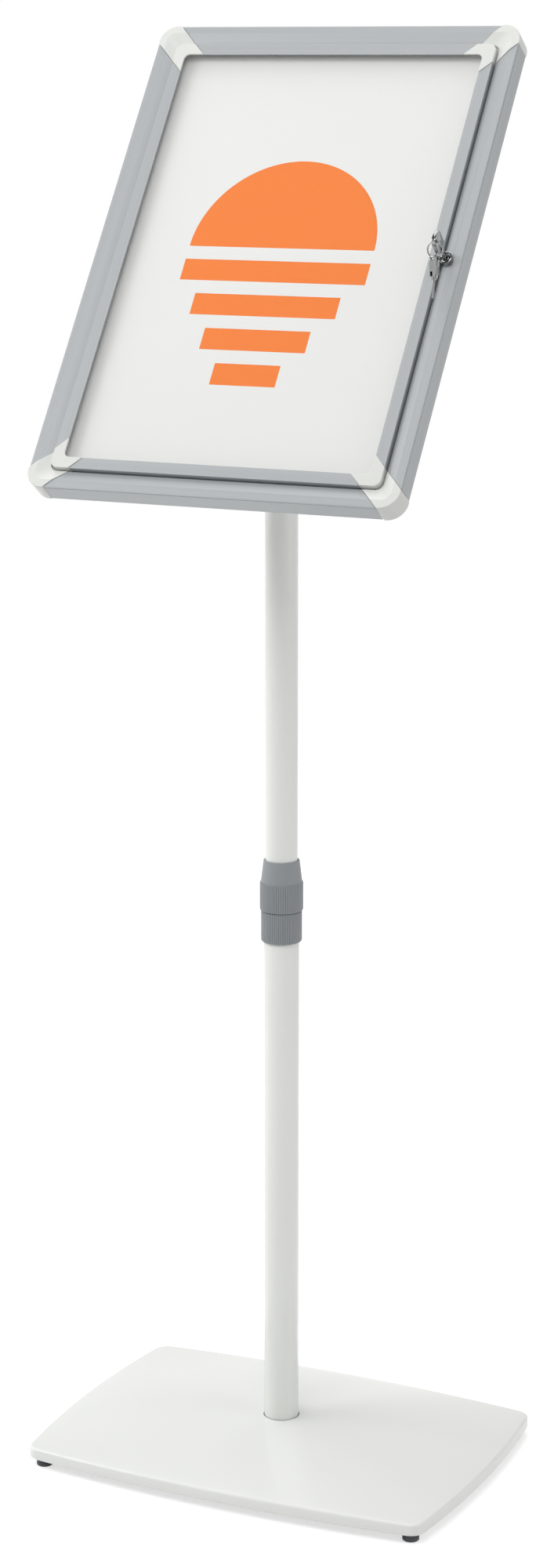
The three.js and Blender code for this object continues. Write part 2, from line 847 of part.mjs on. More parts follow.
// Half a hinge: a leaf with every second knuckle, made about the pin along Y.
function hingeLeaf(own, side) {
  const pitch = hingeLength / knuckleCount;
  const start = -hingeLength / 2;
  const wallGap = (doorGap + hingeRebate) / 2 - fitGap;
  const [near, far] = [wallGap - leafThickness, wallGap];
  const [low, high] = [hingeDrop - doorBottom + fitGap, -barrelRadius - fitGap];
  const [x0, x1] = side > 0 ? [near, far] : [-far, -near];
  const pieces = [block(x0, x1, start, -start, low, high)];
  for (let k = 0; k < knuckleCount; k += 1) {
    if (k % 2 !== own) {
      continue;
    }
    const from = start + k * pitch + fitGap / 2;
    const to = from + pitch - fitGap;
    const barrel = bar(barrelRadius, from, to, knuckleSides);
    pieces.push(barrel.rotateX(-Math.PI / 2));
    pieces.push(block(x0, x1, from, to, high - leafThickness, 0));
  }
  const body = join(...pieces);
  const bore = bar(hingePinRadius + fitGap / 2, start - overrun, overrun - start, knuckleSides);
  return cut(body, bore.rotateX(-Math.PI / 2));
}

function hingePin() {
  const pin = bar(hingePinRadius, -hingeLength / 2, hingeLength / 2, knuckleSides);
  return pin.rotateX(-Math.PI / 2);
}

// Lock, made about its own axis with the rim plane at zero
function lockHousing() {
  const rosette = bar(rosetteRadius, -camDepth, rosetteTop, hiddenSegments);
  const slope = Math.atan2(slopeDrop, slopeWidth);
  const reach = rosetteRadius + camDepth;
  const under = block(-reach, reach, -reach, reach, -reach, 0);
  under.rotateY(-slope);
  const seat = -slopeDrop * ((lockInset - rimWidth) / slopeWidth) + fitGap / Math.cos(slope);
  under.translate(0, 0, seat);
  const barrel = bar(barrelLockRadius, -camDepth + fitGap, rosetteTop - plugRecess, hiddenSegments);
  const crown = turned([
    [0, rosetteTop - plugRecess],
    [barrelLockRadius - plugRecess, rosetteTop - plugRecess],
    [barrelLockRadius, rosetteTop + overrun],
    [0, rosetteTop + overrun],
  ], hiddenSegments);
  const bore = bar(plugRadius + fitGap, -camDepth - overrun, rosetteTop + overrun, hiddenSegments);
  return cut(join(cut(rosette, under), barrel), crown, bore);
}

function lockPlug() {
  const top = rosetteTop - plugRecess;
  const bottom = -camDepth + fitGap;
  const body = bar(plugRadius, bottom, top, hiddenSegments);
  const halfX = keyBladeThickness / 2 + fitGap;
  const halfY = keyBladeWidth / 2 + fitGap;
  const keyway = block(-halfX, halfX, -halfY, halfY, top - keyInsertion - fitGap, top + overrun);
  const screw = bar(camScrewRadius + fitGap / 2, bottom - overrun, bottom + camScrewLength, tinySegments);
  return cut(body, keyway, screw);
}

function lockCam() {
  const finger = new THREE.Shape();
  finger.moveTo(0, camWidth / 2);
  finger.lineTo(-camReach, camWidth / 2);
  finger.lineTo(-camReach, -camWidth / 2);
  finger.lineTo(0, -camWidth / 2);
  finger.absarc(0, 0, camWidth / 2, -Math.PI / 2, Math.PI / 2);
  const hole = new THREE.Path();
  hole.absarc(0, 0, camScrewRadius + fitGap / 2, 0, 2 * Math.PI);
  finger.holes.push(hole);
  return plate(finger, -camDepth - camThickness, -camDepth);
}

function camScrew() {
  const headTop = -camDepth - camThickness - fitGap;
  return turned([
    [0, headTop - camScrewHeadHeight],
    [camScrewHeadRadius, headTop - camScrewHeadHeight],
    [camScrewHeadRadius, headTop],
    [camScrewRadius, headTop],
    [camScrewRadius, -camDepth + camScrewLength],
    [0, -camDepth + camScrewLength],
  ], tinySegments);
}

// Keys, along +Z from tip to bow, with the rivet at the origin
function keyBlade() {
  const half = keyBladeWidth / 2;
  const shape = new THREE.Shape();
  shape.moveTo(half, 0);
  shape.absarc(0, 0, half, 0, Math.PI);
  shape.lineTo(-half, -keyBladeLength + half);
  shape.lineTo(0, -keyBladeLength);
  shape.lineTo(half / 2, -keyBladeLength + half / 2);
  const cuts = 4;
  const pitch = keyInsertion / cuts;
  for (let k = 0; k < cuts; k += 1) {
    const from = -keyBladeLength + half + k * pitch;
    shape.lineTo(half, from);
    shape.lineTo(half / 2, from + pitch / 2);
  }
  shape.lineTo(half, -keyBladeLength + half + keyInsertion);
  const hole = new THREE.Path();
  hole.absarc(0, 0, rivetRadius + fitGap, 0, 2 * Math.PI);
  shape.holes.push(hole);
  return across(shape, keyBladeThickness, 2);
}

function keyBow(holeSide) {
  const outline = roundedRectangle(bowWidth, bowLength, bowCorner);
  const body = across(outline, bowThickness, 3);
  body.translate(0, 0, bowLength / 2 - bowTail);
  const slot = block(
    -keyBladeThickness / 2 - fitGap, keyBladeThickness / 2 + fitGap,
    -bowWidth, bowWidth, -bowTail - overrun, bowSlotLength - bowTail,
  );
  const waist = bowWidth / 2 - keyBladeWidth / 2 - fitGap;
  const shoulders = [1, -1].map((side) => {
    const notch = block(-bowThickness, bowThickness, 0, waist + overrun, -overrun, bowTail + fitGap);
    return moved(notch, 0, side > 0 ? bowWidth / 2 - waist : -bowWidth / 2 - overrun, -bowTail);
  });
  const rivetBore = alongX(bar(rivetRadius + fitGap, -bowThickness, bowThickness, tinySegments));
  const ringBore = alongX(bar(ringHoleRadius, -bowThickness, bowThickness, tinySegments));
  ringBore.translate(0, holeSide * ringHoleAcross, ringHoleAlong);
  return cut(body, slot, ...shoulders, rivetBore, ringBore);
}

function keyRivet() {
  const half = bowThickness / 2 + fitGap;
  const body = turned([
    [0, -half - rivetHeadHeight],
    [rivetHeadRadius, -half - rivetHeadHeight],
    [rivetHeadRadius, -half],
    [rivetRadius, -half],
    [rivetRadius, half],
    [rivetHeadRadius, half],
    [rivetHeadRadius, half + rivetHeadHeight],
    [0, half + rivetHeadHeight],
  ], tinySegments);
  return alongX(body);
}

// Places a key part so that its length points at an angle from the case's up towards its face.
function keyGroup(name, up, out, angle) {
  const group = new THREE.Group();
  group.name = name;
  group.position.set(0, up, out);
  group.rotation.x = angle - Math.PI / 2;
  return group;
}

// Where a bow's ring hole lies from its rivet, as [up, out].
function ringHoleFrom(angle, holeSide) {
  const [along, side] = [ringHoleAlong, holeSide * ringHoleAcross];
  return [
    along * Math.cos(angle) + side * Math.sin(angle),
    along * Math.sin(angle) - side * Math.cos(angle),
  ];
}

function buildKeys() {
  const keys = new THREE.Group();
  const straight = Math.PI / 2;
  const bladePivot = rosetteTop - plugRecess - keyInsertion + keyBladeLength;
  const inserted = keyGroup('key_pivot', 0, bladePivot, straight);
  inserted.add(named('key_blade', keyBlade(), chrome()));
  inserted.add(named('key_rivet', keyRivet(), steel()));
  const bow = keyGroup('bow_pivot', 0, bladePivot, straight - keyBowTilt);
  bow.add(named('key_bow', keyBow(-1), chrome()));
  const [holeUp, holeOut] = ringHoleFrom(straight - keyBowTilt, -1);
  const ringHang = new THREE.Group();
  ringHang.name = 'ring_pivot';
  ringHang.position.set(0, holeUp, bladePivot + holeOut);
  ringHang.rotation.x = leanAngle;
  const halfReach = Math.sqrt(ringRadius ** 2 - ringOffset ** 2) + ringSag;
  const ring = new THREE.TorusGeometry(ringRadius, ringWire, ringWireSides, hiddenSegments);
  ring.translate(ringOffset, -halfReach, 0);
  ringHang.add(named('key_ring', ring, chrome()));
  const spareHoleUp = holeUp - 2 * halfReach * Math.cos(leanAngle);
  const spareHoleOut = bladePivot + holeOut - 2 * halfReach * Math.sin(leanAngle);
  const [upFrom, outFrom] = ringHoleFrom(spareBowAngle, 1);
  const spareUp = spareHoleUp - upFrom;
  const spareOut = spareHoleOut - outFrom;
  const spareBow = keyGroup('spare_bow', spareUp, spareOut, spareBowAngle);
  spareBow.position.x = 2 * ringOffset;
  spareBow.add(named('spare_key_bow', keyBow(1), chrome()));
  spareBow.add(named('spare_key_rivet', keyRivet(), steel()));
  const spareBlade = keyGroup('spare_blade', spareUp, spareOut, spareBladeAngle);
  spareBlade.position.x = 2 * ringOffset;
  spareBlade.add(named('spare_key_blade', keyBlade(), chrome()));
  keys.add(inserted, bow, ringHang, spareBow, spareBlade);
  return keys;
}

function buildLock() {
  const lock = new THREE.Group();
  lock.name = 'lock_axis';
  lock.position.set(caseWidth / 2 - lockInset, 0, 0);
  lock.add(named('lock_housing', lockHousing(), chrome()));
  lock.add(named('lock_plug', lockPlug(), chrome()));
  const cam = named('lock_cam', lockCam(), steel());
  cam.rotation.z = Math.PI / 2;
  lock.add(cam);
  lock.add(named('cam_screw', camScrew(), steel()));
  lock.add(buildKeys());
  return lock;
}

function buildHinge() {
  const hinge = new THREE.Group();
  hinge.name = 'hinge_axis';
  hinge.position.set(-caseWidth / 2 + hingeInset, 0, -hingeDrop);
  hinge.add(named('hinge_frame_leaf', hingeLeaf(0, -1), aluminium()));
  hinge.add(named('hinge_door_leaf', hingeLeaf(1, 1), aluminium()));
  hinge.add(named('hinge_pin', hingePin(), steel()));
  return hinge;
}

function buildCase() {
  const board = new THREE.Group();
  board.name = 'board';
  board.position.set(0, boardRise, boardStandoff);
  for (let k = 0; k < sideNames.length; k += 1) {
    board.add(onSide(named(`frame_${sideNames[k]}`, frameMember(k), aluminium()), k));
    board.add(onSide(named(`door_${sideNames[k]}`, doorMember(k), aluminium()), k));
    board.add(onCorner(named(`frame_corner_${cornerNames[k]}`, frameCorner(), cornerPlastic()), k));
    board.add(onCorner(named(`door_corner_${cornerNames[k]}`, doorCorner(), cornerPlastic()), k));
  }
  board.add(named('back_panel', backPanel(), whitePanel()));
  const sheet = block(
    -sheetWidth / 2, sheetWidth / 2, -sheetHeight / 2, sheetHeight / 2,
    -panelFront + fitGap, -panelFront + fitGap + sheetThickness,
  );
  board.add(named('poster', sheet, whitePaper()));
  board.add(named('glazing', glazing(), clearAcrylic()));
  board.add(buildHinge());
  board.add(buildLock());
  return board;
}

// Tilt bracket, in the head's own frame: the tilt axis is the origin, +Z points to the case
function screwPlaces() {
  const places = [];
  for (const x of [-bracketScrewX, bracketScrewX]) {
    for (const y of [-bracketScrewY, bracketScrewY]) {
      places.push([x, y - boardRise]);
    }
  }
  return places;
}

function tiltBracket() {
  const front = boardStandoff - panelBack - fitGap;
  const back = front - bracketThickness;
  const pad = plate(roundedRectangle(bracketWidth, bracketHeight, bracketCorner), back, front);
  const ear = new THREE.Shape();
  ear.moveTo(tongueRadius, 0);
  ear.lineTo(tongueRadius, back + bracketThickness / 2);
  ear.lineTo(-tongueRadius, back + bracketThickness / 2);
  ear.lineTo(-tongueRadius, 0);
  ear.absarc(0, 0, tongueRadius, Math.PI, 2 * Math.PI);
  const offset = (tongueWidth + earThickness) / 2 + fitGap;
  const ears = [-offset, offset].map((x) => moved(across(ear, earThickness, tinySegments), x, 0, 0));
  const reach = offset + earThickness;
  const tools = [alongX(bar(tiltBoltRadius + fitGap, -reach, reach, smallSegments))];
  for (const [x, y] of screwPlaces()) {
    const hole = bar(screwRadius + fitGap, back - overrun, front + overrun, tinySegments);
    tools.push(moved(hole, x, y + boardRise, 0));
  }
  return cut(join(pad, ...ears), ...tools);
}

function bracketScrew() {
  const back = boardStandoff - panelBack - fitGap - bracketThickness;
  const tip = boardStandoff - panelBack + screwGrip - fitGap;
  return turned([
    [0, back - fitGap - screwHeadHeight],
    [screwHeadRadius * screwCrownShare, back - fitGap - screwHeadHeight],
    [screwHeadRadius, back - fitGap - screwHeadHeight / 2],
    [screwHeadRadius, back - fitGap],
    [screwRadius, back - fitGap],
    [screwRadius, tip],
    [0, tip],
  ], tinySegments);
}

function tiltBolt() {
  const head = new THREE.CylinderGeometry(tiltBoltHead, tiltBoltHead, tiltBoltHeadHeight, 6);
  head.rotateX(Math.PI / 2);
  head.translate(0, 0, -earOuter - fitGap - tiltBoltHeadHeight / 2);
  const end = earOuter + fitGap + knobBoltDepth;
  const shank = bar(tiltBoltRadius, -earOuter - fitGap - tiltBoltHeadHeight / 2, end, smallSegments);
  return alongX(join(head, shank));
}

function tiltKnob() {
  const points = [];
  const count = knobLobes * pointsToLobe;
  for (let k = 0; k < count; k += 1) {
    const turn = (k / count) * 2 * Math.PI;
    const radius = knobRadius - knobLobeDepth * (1 - Math.cos(turn * knobLobes)) / 2;
    points.push(new THREE.Vector2(radius * Math.cos(turn), radius * Math.sin(turn)));
  }
  const start = earOuter + fitGap;
  const grip = plate(new THREE.Shape(points), start + knobBossLength, start + knobThickness);
  const boss = bar(knobBossRadius, start, start + knobBossLength + knobThickness / 2, smallSegments);
  const bore = bar(tiltBoltRadius + fitGap, start - overrun, start + knobBoltDepth + fitGap, smallSegments);
  return alongX(cut(join(grip, boss), bore));
}

function buildHead() {
  const head = new THREE.Group();
  head.name = 'tilt_axis';
  head.position.set(0, 0, hingeHeight);
  head.rotation.x = Math.PI / 2 - leanAngle;
  head.add(named('tilt_bracket', tiltBracket(), paint()));
  screwPlaces().forEach(([x, y], k) => {
    const screw = named(`bracket_screw_${k + 1}`, bracketScrew(), steel());
    screw.position.set(x, y + boardRise, 0);
    head.add(screw);
  });
  head.add(named('tilt_bolt', tiltBolt(), steel()));
  head.add(named('tilt_knob', tiltKnob(), blackPlastic()));
  head.add(buildCase());
  return head;
}

const stand = new THREE.Group();
stand.add(buildFoot(), buildMast(), buildHead());

export default stand;
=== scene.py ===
"""Finished pieces, finishes and stage for a floor-standing lockable notice board."""
from math import cos, pi, radians, sin

import bmesh
import bpy
from bpy.props import FloatProperty, FloatVectorProperty, IntProperty, PointerProperty
from mathutils import Matrix, Vector


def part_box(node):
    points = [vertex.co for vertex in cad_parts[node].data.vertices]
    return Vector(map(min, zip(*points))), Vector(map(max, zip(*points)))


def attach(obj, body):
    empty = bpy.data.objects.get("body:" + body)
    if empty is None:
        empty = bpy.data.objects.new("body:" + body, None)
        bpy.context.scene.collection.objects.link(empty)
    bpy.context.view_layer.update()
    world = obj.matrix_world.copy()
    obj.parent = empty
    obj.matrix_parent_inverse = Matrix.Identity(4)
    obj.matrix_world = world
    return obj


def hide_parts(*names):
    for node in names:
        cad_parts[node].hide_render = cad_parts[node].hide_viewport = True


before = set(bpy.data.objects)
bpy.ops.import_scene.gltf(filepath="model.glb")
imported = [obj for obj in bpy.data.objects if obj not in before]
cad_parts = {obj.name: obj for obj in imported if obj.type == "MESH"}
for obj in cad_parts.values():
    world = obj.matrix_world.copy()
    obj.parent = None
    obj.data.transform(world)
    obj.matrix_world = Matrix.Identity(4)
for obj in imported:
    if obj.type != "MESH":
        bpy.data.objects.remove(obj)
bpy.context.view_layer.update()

bl_info = {
    "name": "Notice board stand",
    "version": (1, 0, 0),
    "blender": (4, 5, 0),
    "location": "3D View > Sidebar > Notice board",
    "description": "Makes the finished pieces of a lockable notice board on a telescopic mast",
    "category": "Object",
}

# Places of the case: the tilt axis, and from it the middle of the rim
TILT_HEIGHT = 1.0575
LEAN = radians(35)
BOARD_RISE = 0.0307
BOARD_STANDOFF = 0.041
CASE_WIDTH = 0.347
CASE_HEIGHT = 0.47

# Section of the case and the door, by inward distance from the outer edge and height over the rim
RIM_WIDTH = 0.0072
SLOPE_WIDTH = 0.0107
SLOPE_DROP = 0.0038
FRAME_DEPTH = 0.021
FRAME_WALL = 0.0015
DOOR_GAP = 0.0015
DOOR_FACE_WIDTH = 0.0106
DOOR_FACE_RISE = 0.0003
DOOR_DEPTH = 0.0075
DOOR_WALL = 0.002
DOOR_LIP = 0.0015
GLAZING_THICKNESS = 0.002
GLAZING_SLOT = 0.0025
RETAINER_REACH = 0.0036
RETAINER_THICKNESS = 0.0011
LEDGE_TOP = 0.0075
LEDGE_THICKNESS = 0.0023
LEDGE_REACH = 0.0045
REAR_FLANGE_REACH = 0.027
PROFILE_FILLET = 0.0008
# Between neighbouring pieces
PIECE_GAP = 0.0003

# Plastic corners, which stand proud of the profiles' lowered faces
CORNER_REACH = 0.018
CORNER_RADIUS = 0.016
INNER_CORNER_RADIUS = 0.007
CORNER_PROUD = 0.00035
DOOR_CORNER_PROUD = 0.0002
PROFILE_INSET = 0.0005
DOOR_CORNER_RADIUS = 0.007
DOOR_INNER_RADIUS = 0.005
CORNER_LEG_LENGTH = 0.02
CORNER_LEG_DEPTH = 0.0043
ARC_STEPS = 18
EDGE_STEPS = 4

# Foot and its rubber pads
FOOT_HALF_WIDTH = 0.1965
FOOT_HALF_DEPTH = 0.136
FOOT_BULGE_FRONT = 0.01145
FOOT_BULGE_SIDE = 0.00925
FOOT_CORNER = 0.012
FOOT_UNDERSIDE = 0.0088
FOOT_EDGE = 0.011
FOOT_CROWN = 0.016
FOOT_FILLET = 0.0025
FOOT_CHAMFER = 0.001
FOOT_SKIN = 0.006
TUBE_HOLE = 0.0167
RECESS_SHARE = 0.84
PAD_GROOVE_SHARE = 1 / 12
SIDE_STEPS = 40
CORNER_STEPS = 10
FILLET_STEPS = 6
CROWN_STEPS = 16

# Tubes and collar
LOWER_TUBE_RADIUS = 0.016
UPPER_TUBE_RADIUS = 0.0146
TUBE_WALL = 0.0011
COLLAR_BOTTOM = 0.493
RING_TOP = 0.5218
STEP_HEIGHT = 0.5482
COLLAR_TOP = 0.5686
RING_RADIUS = 0.0185
NUT_RADIUS = 0.0196
CONE_FOOT_RADIUS = 0.0187
CONE_TOP_RADIUS = 0.0163
NECK_RADIUS = 0.0175
RIB_COUNT = 60
RIB_DEPTH = 0.0006
RIB_PROFILE_SHARES = (0.0, 1.0, 1.0, 1.0, 1.0, 0.0)
COLLAR_CHAMFER = 0.0016
COLLAR_LIP = 0.0005

# Corners in order, and the finish of each side's profile
CORNER_NAMES = ("top_right", "top_left", "bottom_left", "bottom_right")
SIDE_FINISHES = {"right": "upright", "top": "across", "left": "upright", "bottom": "across"}

# Steps, roundings and angles of the pieces
ROUND_STEPS = 96
SMALL_STEPS = 48
BEVEL_STEPS = 2
TINY_ROUND = 0.00015
SMALL_ROUND = 0.0003
EDGE_ROUND = 0.00035
CORNER_ROUND = 0.0005
WELD = 0.00001
FLAT_ANGLE = radians(0.3)
SHARP_ANGLE = radians(32)
FACET_ANGLE = radians(12)
FLAT_WEIGHT = 50
ROOM_FOR_ROUND = 2.5

# Key ring: two turns of flattened wire, with a short step from one to the other
SPLIT_RING_RADIUS = 0.0069
SPLIT_RING_PLACE = (0.1612, -0.043317, 1.115895)
WIRE_WIDTH = 0.0011
WIRE_HEIGHT = 0.00057
WIRE_LIFT = 0.0006
WIRE_STEPS = 12
WIRE_SQUARENESS = 3.0
RING_OPENING = 0.06
RING_STEPS = 168
RING_START = radians(75)

# Printed sheet, from its middle
SUN_RADIUS = 0.088
SUN_BASE = 0.012
BAR_HEIGHT = 0.021
BAR_GAP = 0.013
BAR_HALF_WIDTH = 0.088
BAR_STEP = 0.019
BAR_COUNT = 4

# Relief of the finishes
LINE_DEPTH = 0.00003
PEEL_DEPTH = 0.00004
MOULD_DEPTH = 0.00003
PLATE_DEPTH = 0.00001
GRAIN_STRENGTH = 0.25

# Anodised aluminium: stretch of its drawing lines, tones, metal and roughness
ALONG_LENGTH = 3.0
ACROSS_LENGTH = 1400.0
LINE_STRENGTH = 0.2
LIGHT_SHARE = 1.08
DARK_SHARE = 0.93
ANODISED_METAL = 0.35
ANODISED_ROUGHNESS = (0.42, 0.56)

# Plated and black pieces
ZINC_GREY = (0.6, 0.61, 0.6)
# The nickel grey is darker than bare nickel: painted shade that stands in for the dark surroundings it would
# reflect
NICKEL_GREY_AND_PAINTED_SHADE = (0.34, 0.345, 0.345)
KNOB_BLACK = (0.025, 0.026, 0.027)

# Clear glazing
CLEAR_TINT = (0.98, 0.985, 0.98)
CLEAR_INDEX = 1.49
CLEAR_GRAIN = 40.0
CLEAR_STRENGTH = 0.02
CLEAR_ROUGHNESS = (0.0, 0.03)

# Paper, and its roughness bare and printed
PAPER_GRAIN = 1800.0
PAPER_STRENGTH = 0.15
PAPER_DARK_SHARE = 0.985
PAPER_ROUGHNESS = (0.62, 0.5)
PAPER_SHEEN = 0.15

# Camera and stage
CAMERA_PLACE = (1.2140, -2.5758, 1.2735)
CAMERA_TARGET = (-0.0037, -0.0018, 0.6378)
CAMERA_LENS = 74.97
CAMERA_SENSOR = 36.0
FLOOR_HALF = 3.0
FLOOR_GLOW = 0.6
FLOOR_TONES = (0.69, 0.71)
FLOOR_ROUGHNESS = 0.8
# Each lamp's name, place, width, height and power
LAMPS = (
    ("overhead_lamp", (-0.6, 0.7, 3.5), 2.2, 2.2, 32.0),
    ("front_lamp", (0.36, -2.03, 3.25), 1.9, 1.6, 28.0),
    ("front_left_lamp", (-2.3, -1.5, 2.4), 1.9, 1.6, 33.0),
    ("left_lamp", (-3.09, 0.0, 1.63), 2.4, 1.6, 20.0),
    ("right_lamp", (3.0, 0.0, 1.9), 1.9, 1.6, 18.0),
)
LAMP_TARGET = (0.0, 0.0, 0.8)
SURROUND_LEVEL = 0.4
# Height of a reflected ray at which the surround starts to dim and is dimmest, and the share left there
CEILING_START = 0.05
CEILING_FULL = 0.6
CEILING_SHARE = 0.15


def board_matrix():
    """The place of the middle of the rim, with X across, Y up the sheet and Z out of it."""
    turn = Matrix.Rotation(pi / 2 - LEAN, 4, "X")
    offset = Matrix.Translation((0, BOARD_RISE, BOARD_STANDOFF))
    return Matrix.Translation((0, 0, TILT_HEIGHT)) @ turn @ offset


class StandSizes(bpy.types.PropertyGroup):
    """Sizes of the finish that a user may change."""

    edge_round: FloatProperty(
        name="Edge rounding", description="Radius on the edges of the profiles",
        default=EDGE_ROUND, min=0.0, unit="LENGTH", subtype="DISTANCE")
    corner_round: FloatProperty(
        name="Corner rounding", description="Radius on the edges of the plastic corners",
        default=CORNER_ROUND, min=0.0, unit="LENGTH", subtype="DISTANCE")
    foot_crown: FloatProperty(
        name="Foot crown", description="Rise of the foot's middle over its edge",
        default=FOOT_CROWN, min=0.0, unit="LENGTH", subtype="DISTANCE")
    rib_count: IntProperty(
        name="Collar ribs", description="Ribs round each ring of the collar",
        default=RIB_COUNT, min=12)


def colour_choice(name, description, default):
    """A colour that a user may change."""
    return FloatVectorProperty(
        name=name, description=description, default=default, size=3, min=0, max=1, subtype="COLOR")


class StandColours(bpy.types.PropertyGroup):
    """Colours of the finishes."""

    paint: colour_choice("Paint", "Powder coat of the foot and tubes", (0.87, 0.88, 0.855))
    aluminium: colour_choice("Aluminium", "Anodised profiles", (0.425, 0.445, 0.455))
    corner: colour_choice("Corners", "Plastic corners of the case and the door", (0.73, 0.74, 0.71))
    collar: colour_choice("Collar", "Grey plastic of the collar", (0.30, 0.32, 0.335))
    rubber: colour_choice("Feet", "Rubber of the four feet", (0.10, 0.11, 0.115))
    sheet: colour_choice("Sheet", "Paper of the printed sheet", (0.82, 0.82, 0.805))
    print_colour: colour_choice("Print", "Printed shapes on the sheet", (0.90, 0.20, 0.012))
    panel: colour_choice("Back board", "Board behind the sheet", (0.74, 0.74, 0.73))


class StageSettings(bpy.types.PropertyGroup):
    """Light and camera."""

    lens: FloatProperty(
        name="Lens", description="Focal length of the camera",
        default=CAMERA_LENS, min=10.0, subtype="DISTANCE_CAMERA")
    surround: FloatProperty(
        name="Surround", description="Strength of the light from all round",
        default=SURROUND_LEVEL, min=0.0, subtype="FACTOR")
    lamp_level: FloatProperty(
        name="Lamps", description="Level of the five soft lamps",
        default=1.0, min=0.0, subtype="FACTOR")


# Helpers for pieces
def deselect_all():
    """Leaves edit mode and selects nothing."""
    if bpy.context.object and bpy.context.object.mode != "OBJECT":
        bpy.ops.object.mode_set(mode="OBJECT")
    bpy.ops.object.select_all(action="DESELECT")


def select_only(piece):
    """Selects one piece and makes it the active one."""
    deselect_all()
    piece.select_set(True)
    bpy.context.view_layer.objects.active = piece


def smooth(piece, angle=SHARP_ANGLE):
    """Smooth shading that stays sharp at edges over an angle."""
    select_only(piece)
    bpy.ops.object.shade_smooth_by_angle(angle=angle)


def settle(piece):
    """Puts the piece's place into its mesh."""
    select_only(piece)
    bpy.ops.object.transform_apply(location=True, rotation=True, scale=True)


def apply_bevel(piece, width):
    """Rounds the sharp edges of a piece."""
    select_only(piece)
    bevel = piece.modifiers.new("Rounded edges", "BEVEL")
    bevel.width = width
    bevel.segments = BEVEL_STEPS
    bevel.limit_method = "ANGLE"
    bevel.angle_limit = SHARP_ANGLE
    bevel.use_clamp_overlap = True
    bpy.ops.object.modifier_apply(modifier=bevel.name)


def dress(piece, body, material, node):
    """Gives a piece its finish and its body, and hides the CAD node that it stands for."""
    piece.data.materials.clear()
    piece.data.materials.append(material)
    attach(piece, body)
    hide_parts(node)


def has_room(edge, face, width):
    """Whether a face is wide enough beside an edge to take its rounding."""
    start, end = (vertex.co for vertex in edge.verts)
    along = (end - start).normalized()
    reach = [vertex.co - start for vertex in face.verts]
    return max((r - r.dot(along) * along).length for r in reach) > ROOM_FOR_ROUND * width


def round_edges(piece, width):
    """Bevels the edges that have room for it on both sides."""
    select_only(piece)
    bpy.ops.object.mode_set(mode="EDIT")
    bpy.ops.mesh.select_mode(type="EDGE")
    bpy.ops.mesh.select_all(action="DESELECT")
    mesh = bmesh.from_edit_mesh(piece.data)
    for edge in mesh.edges:
        if len(edge.link_faces) == 2 and edge.calc_face_angle() > FACET_ANGLE:
            if all(has_room(edge, face, width) for face in edge.link_faces):
                edge.select_set(True)
    bmesh.update_edit_mesh(piece.data)
    bpy.ops.mesh.bevel(offset=width, segments=BEVEL_STEPS, affect="EDGES", clamp_overlap=True)
    bpy.ops.mesh.select_mode(type="VERT")
    bpy.ops.object.mode_set(mode="OBJECT")


def even_faces(piece):
    """Smooth shading that leaves each flat face one even tone."""
    smooth(piece, FACET_ANGLE)
    weighted = piece.modifiers.new("Even faces", "WEIGHTED_NORMAL")
    weighted.weight = FLAT_WEIGHT
    weighted.keep_sharp = True
    bpy.ops.object.modifier_apply(modifier=weighted.name)


def block(low, high):
    """A box between two corners, for joining to a piece."""
    deselect_all()
    bpy.ops.mesh.primitive_cube_add()
    piece = bpy.context.object
    for vertex in piece.data.vertices:
        vertex.co = [far if c > 0 else near for near, far, c in zip(low, high, vertex.co)]
    return piece


def combine(piece, other):
    """Joins another body to a piece, and removes the other."""
    select_only(piece)
    solid = piece.modifiers.new("Solid", "BOOLEAN")
    solid.operation = "UNION"
    solid.solver = "EXACT"
    solid.object = other
    bpy.ops.object.modifier_apply(modifier=solid.name)
    bpy.data.objects.remove(other)


def placed_copy(model, name, place):
    """A copy of a model with its own mesh, moved to its place."""
    piece = bpy.data.objects.new(name, model.data.copy())
    bpy.context.scene.collection.objects.link(piece)
    piece.matrix_world = place
    settle(piece)
    return piece


def quarter(across, up, radius, start, end):
    """Points on a quarter round of a section, between two angles."""
    turns = (start + (end - start) * k / EDGE_STEPS for k in range(EDGE_STEPS + 1))
    return [(across + radius * cos(t), up + radius * sin(t)) for t in turns]


def lower_faces(piece, lowest, *levels):
    """Lowers what lies over a height or at given levels, so that the corners stand proud of it."""
    to_board = board_matrix().inverted()
    down = board_matrix().to_3x3() @ Vector((0, 0, -PROFILE_INSET))
    for vertex in piece.data.vertices:
        height = (to_board @ vertex.co).z
        if height > lowest - WELD or any(abs(height - level) < WELD for level in levels):
            vertex.co += down


def profile_copy(node, name, edge_round, lowest, *levels):
    """A merged copy of an extruded CAD node whose faces stay flat between rounded edges."""
    piece = refined_copy(node, name, 0)
    lower_faces(piece, lowest, *levels)
    round_edges(piece, edge_round)
    even_faces(piece)
    return piece


def refined_copy(node, name, edge_round):
    """A merged copy of a CAD node with rounded edges."""
    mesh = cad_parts[node].data.copy()
    piece = bpy.data.objects.new(name, mesh)
    bpy.context.scene.collection.objects.link(piece)
    select_only(piece)
    bpy.ops.mesh.customdata_custom_splitnormals_clear()
    bpy.ops.object.mode_set(mode="EDIT")
    bpy.ops.mesh.select_all(action="SELECT")
    bpy.ops.mesh.remove_doubles(threshold=WELD)
    bpy.ops.mesh.dissolve_limited(angle_limit=FLAT_ANGLE)
    bpy.ops.object.mode_set(mode="OBJECT")
    if edge_round > 0:
        apply_bevel(piece, edge_round)
    smooth(piece)
    return piece


def dress_copies(rows, edge_round):
    """Refined copies of CAD nodes, from rows of node, body, finish and slot."""
    for node, body, name, slot in rows:
        piece = refined_copy(node, node + "_finished", edge_round)
        dress(piece, body, finish(name), node)


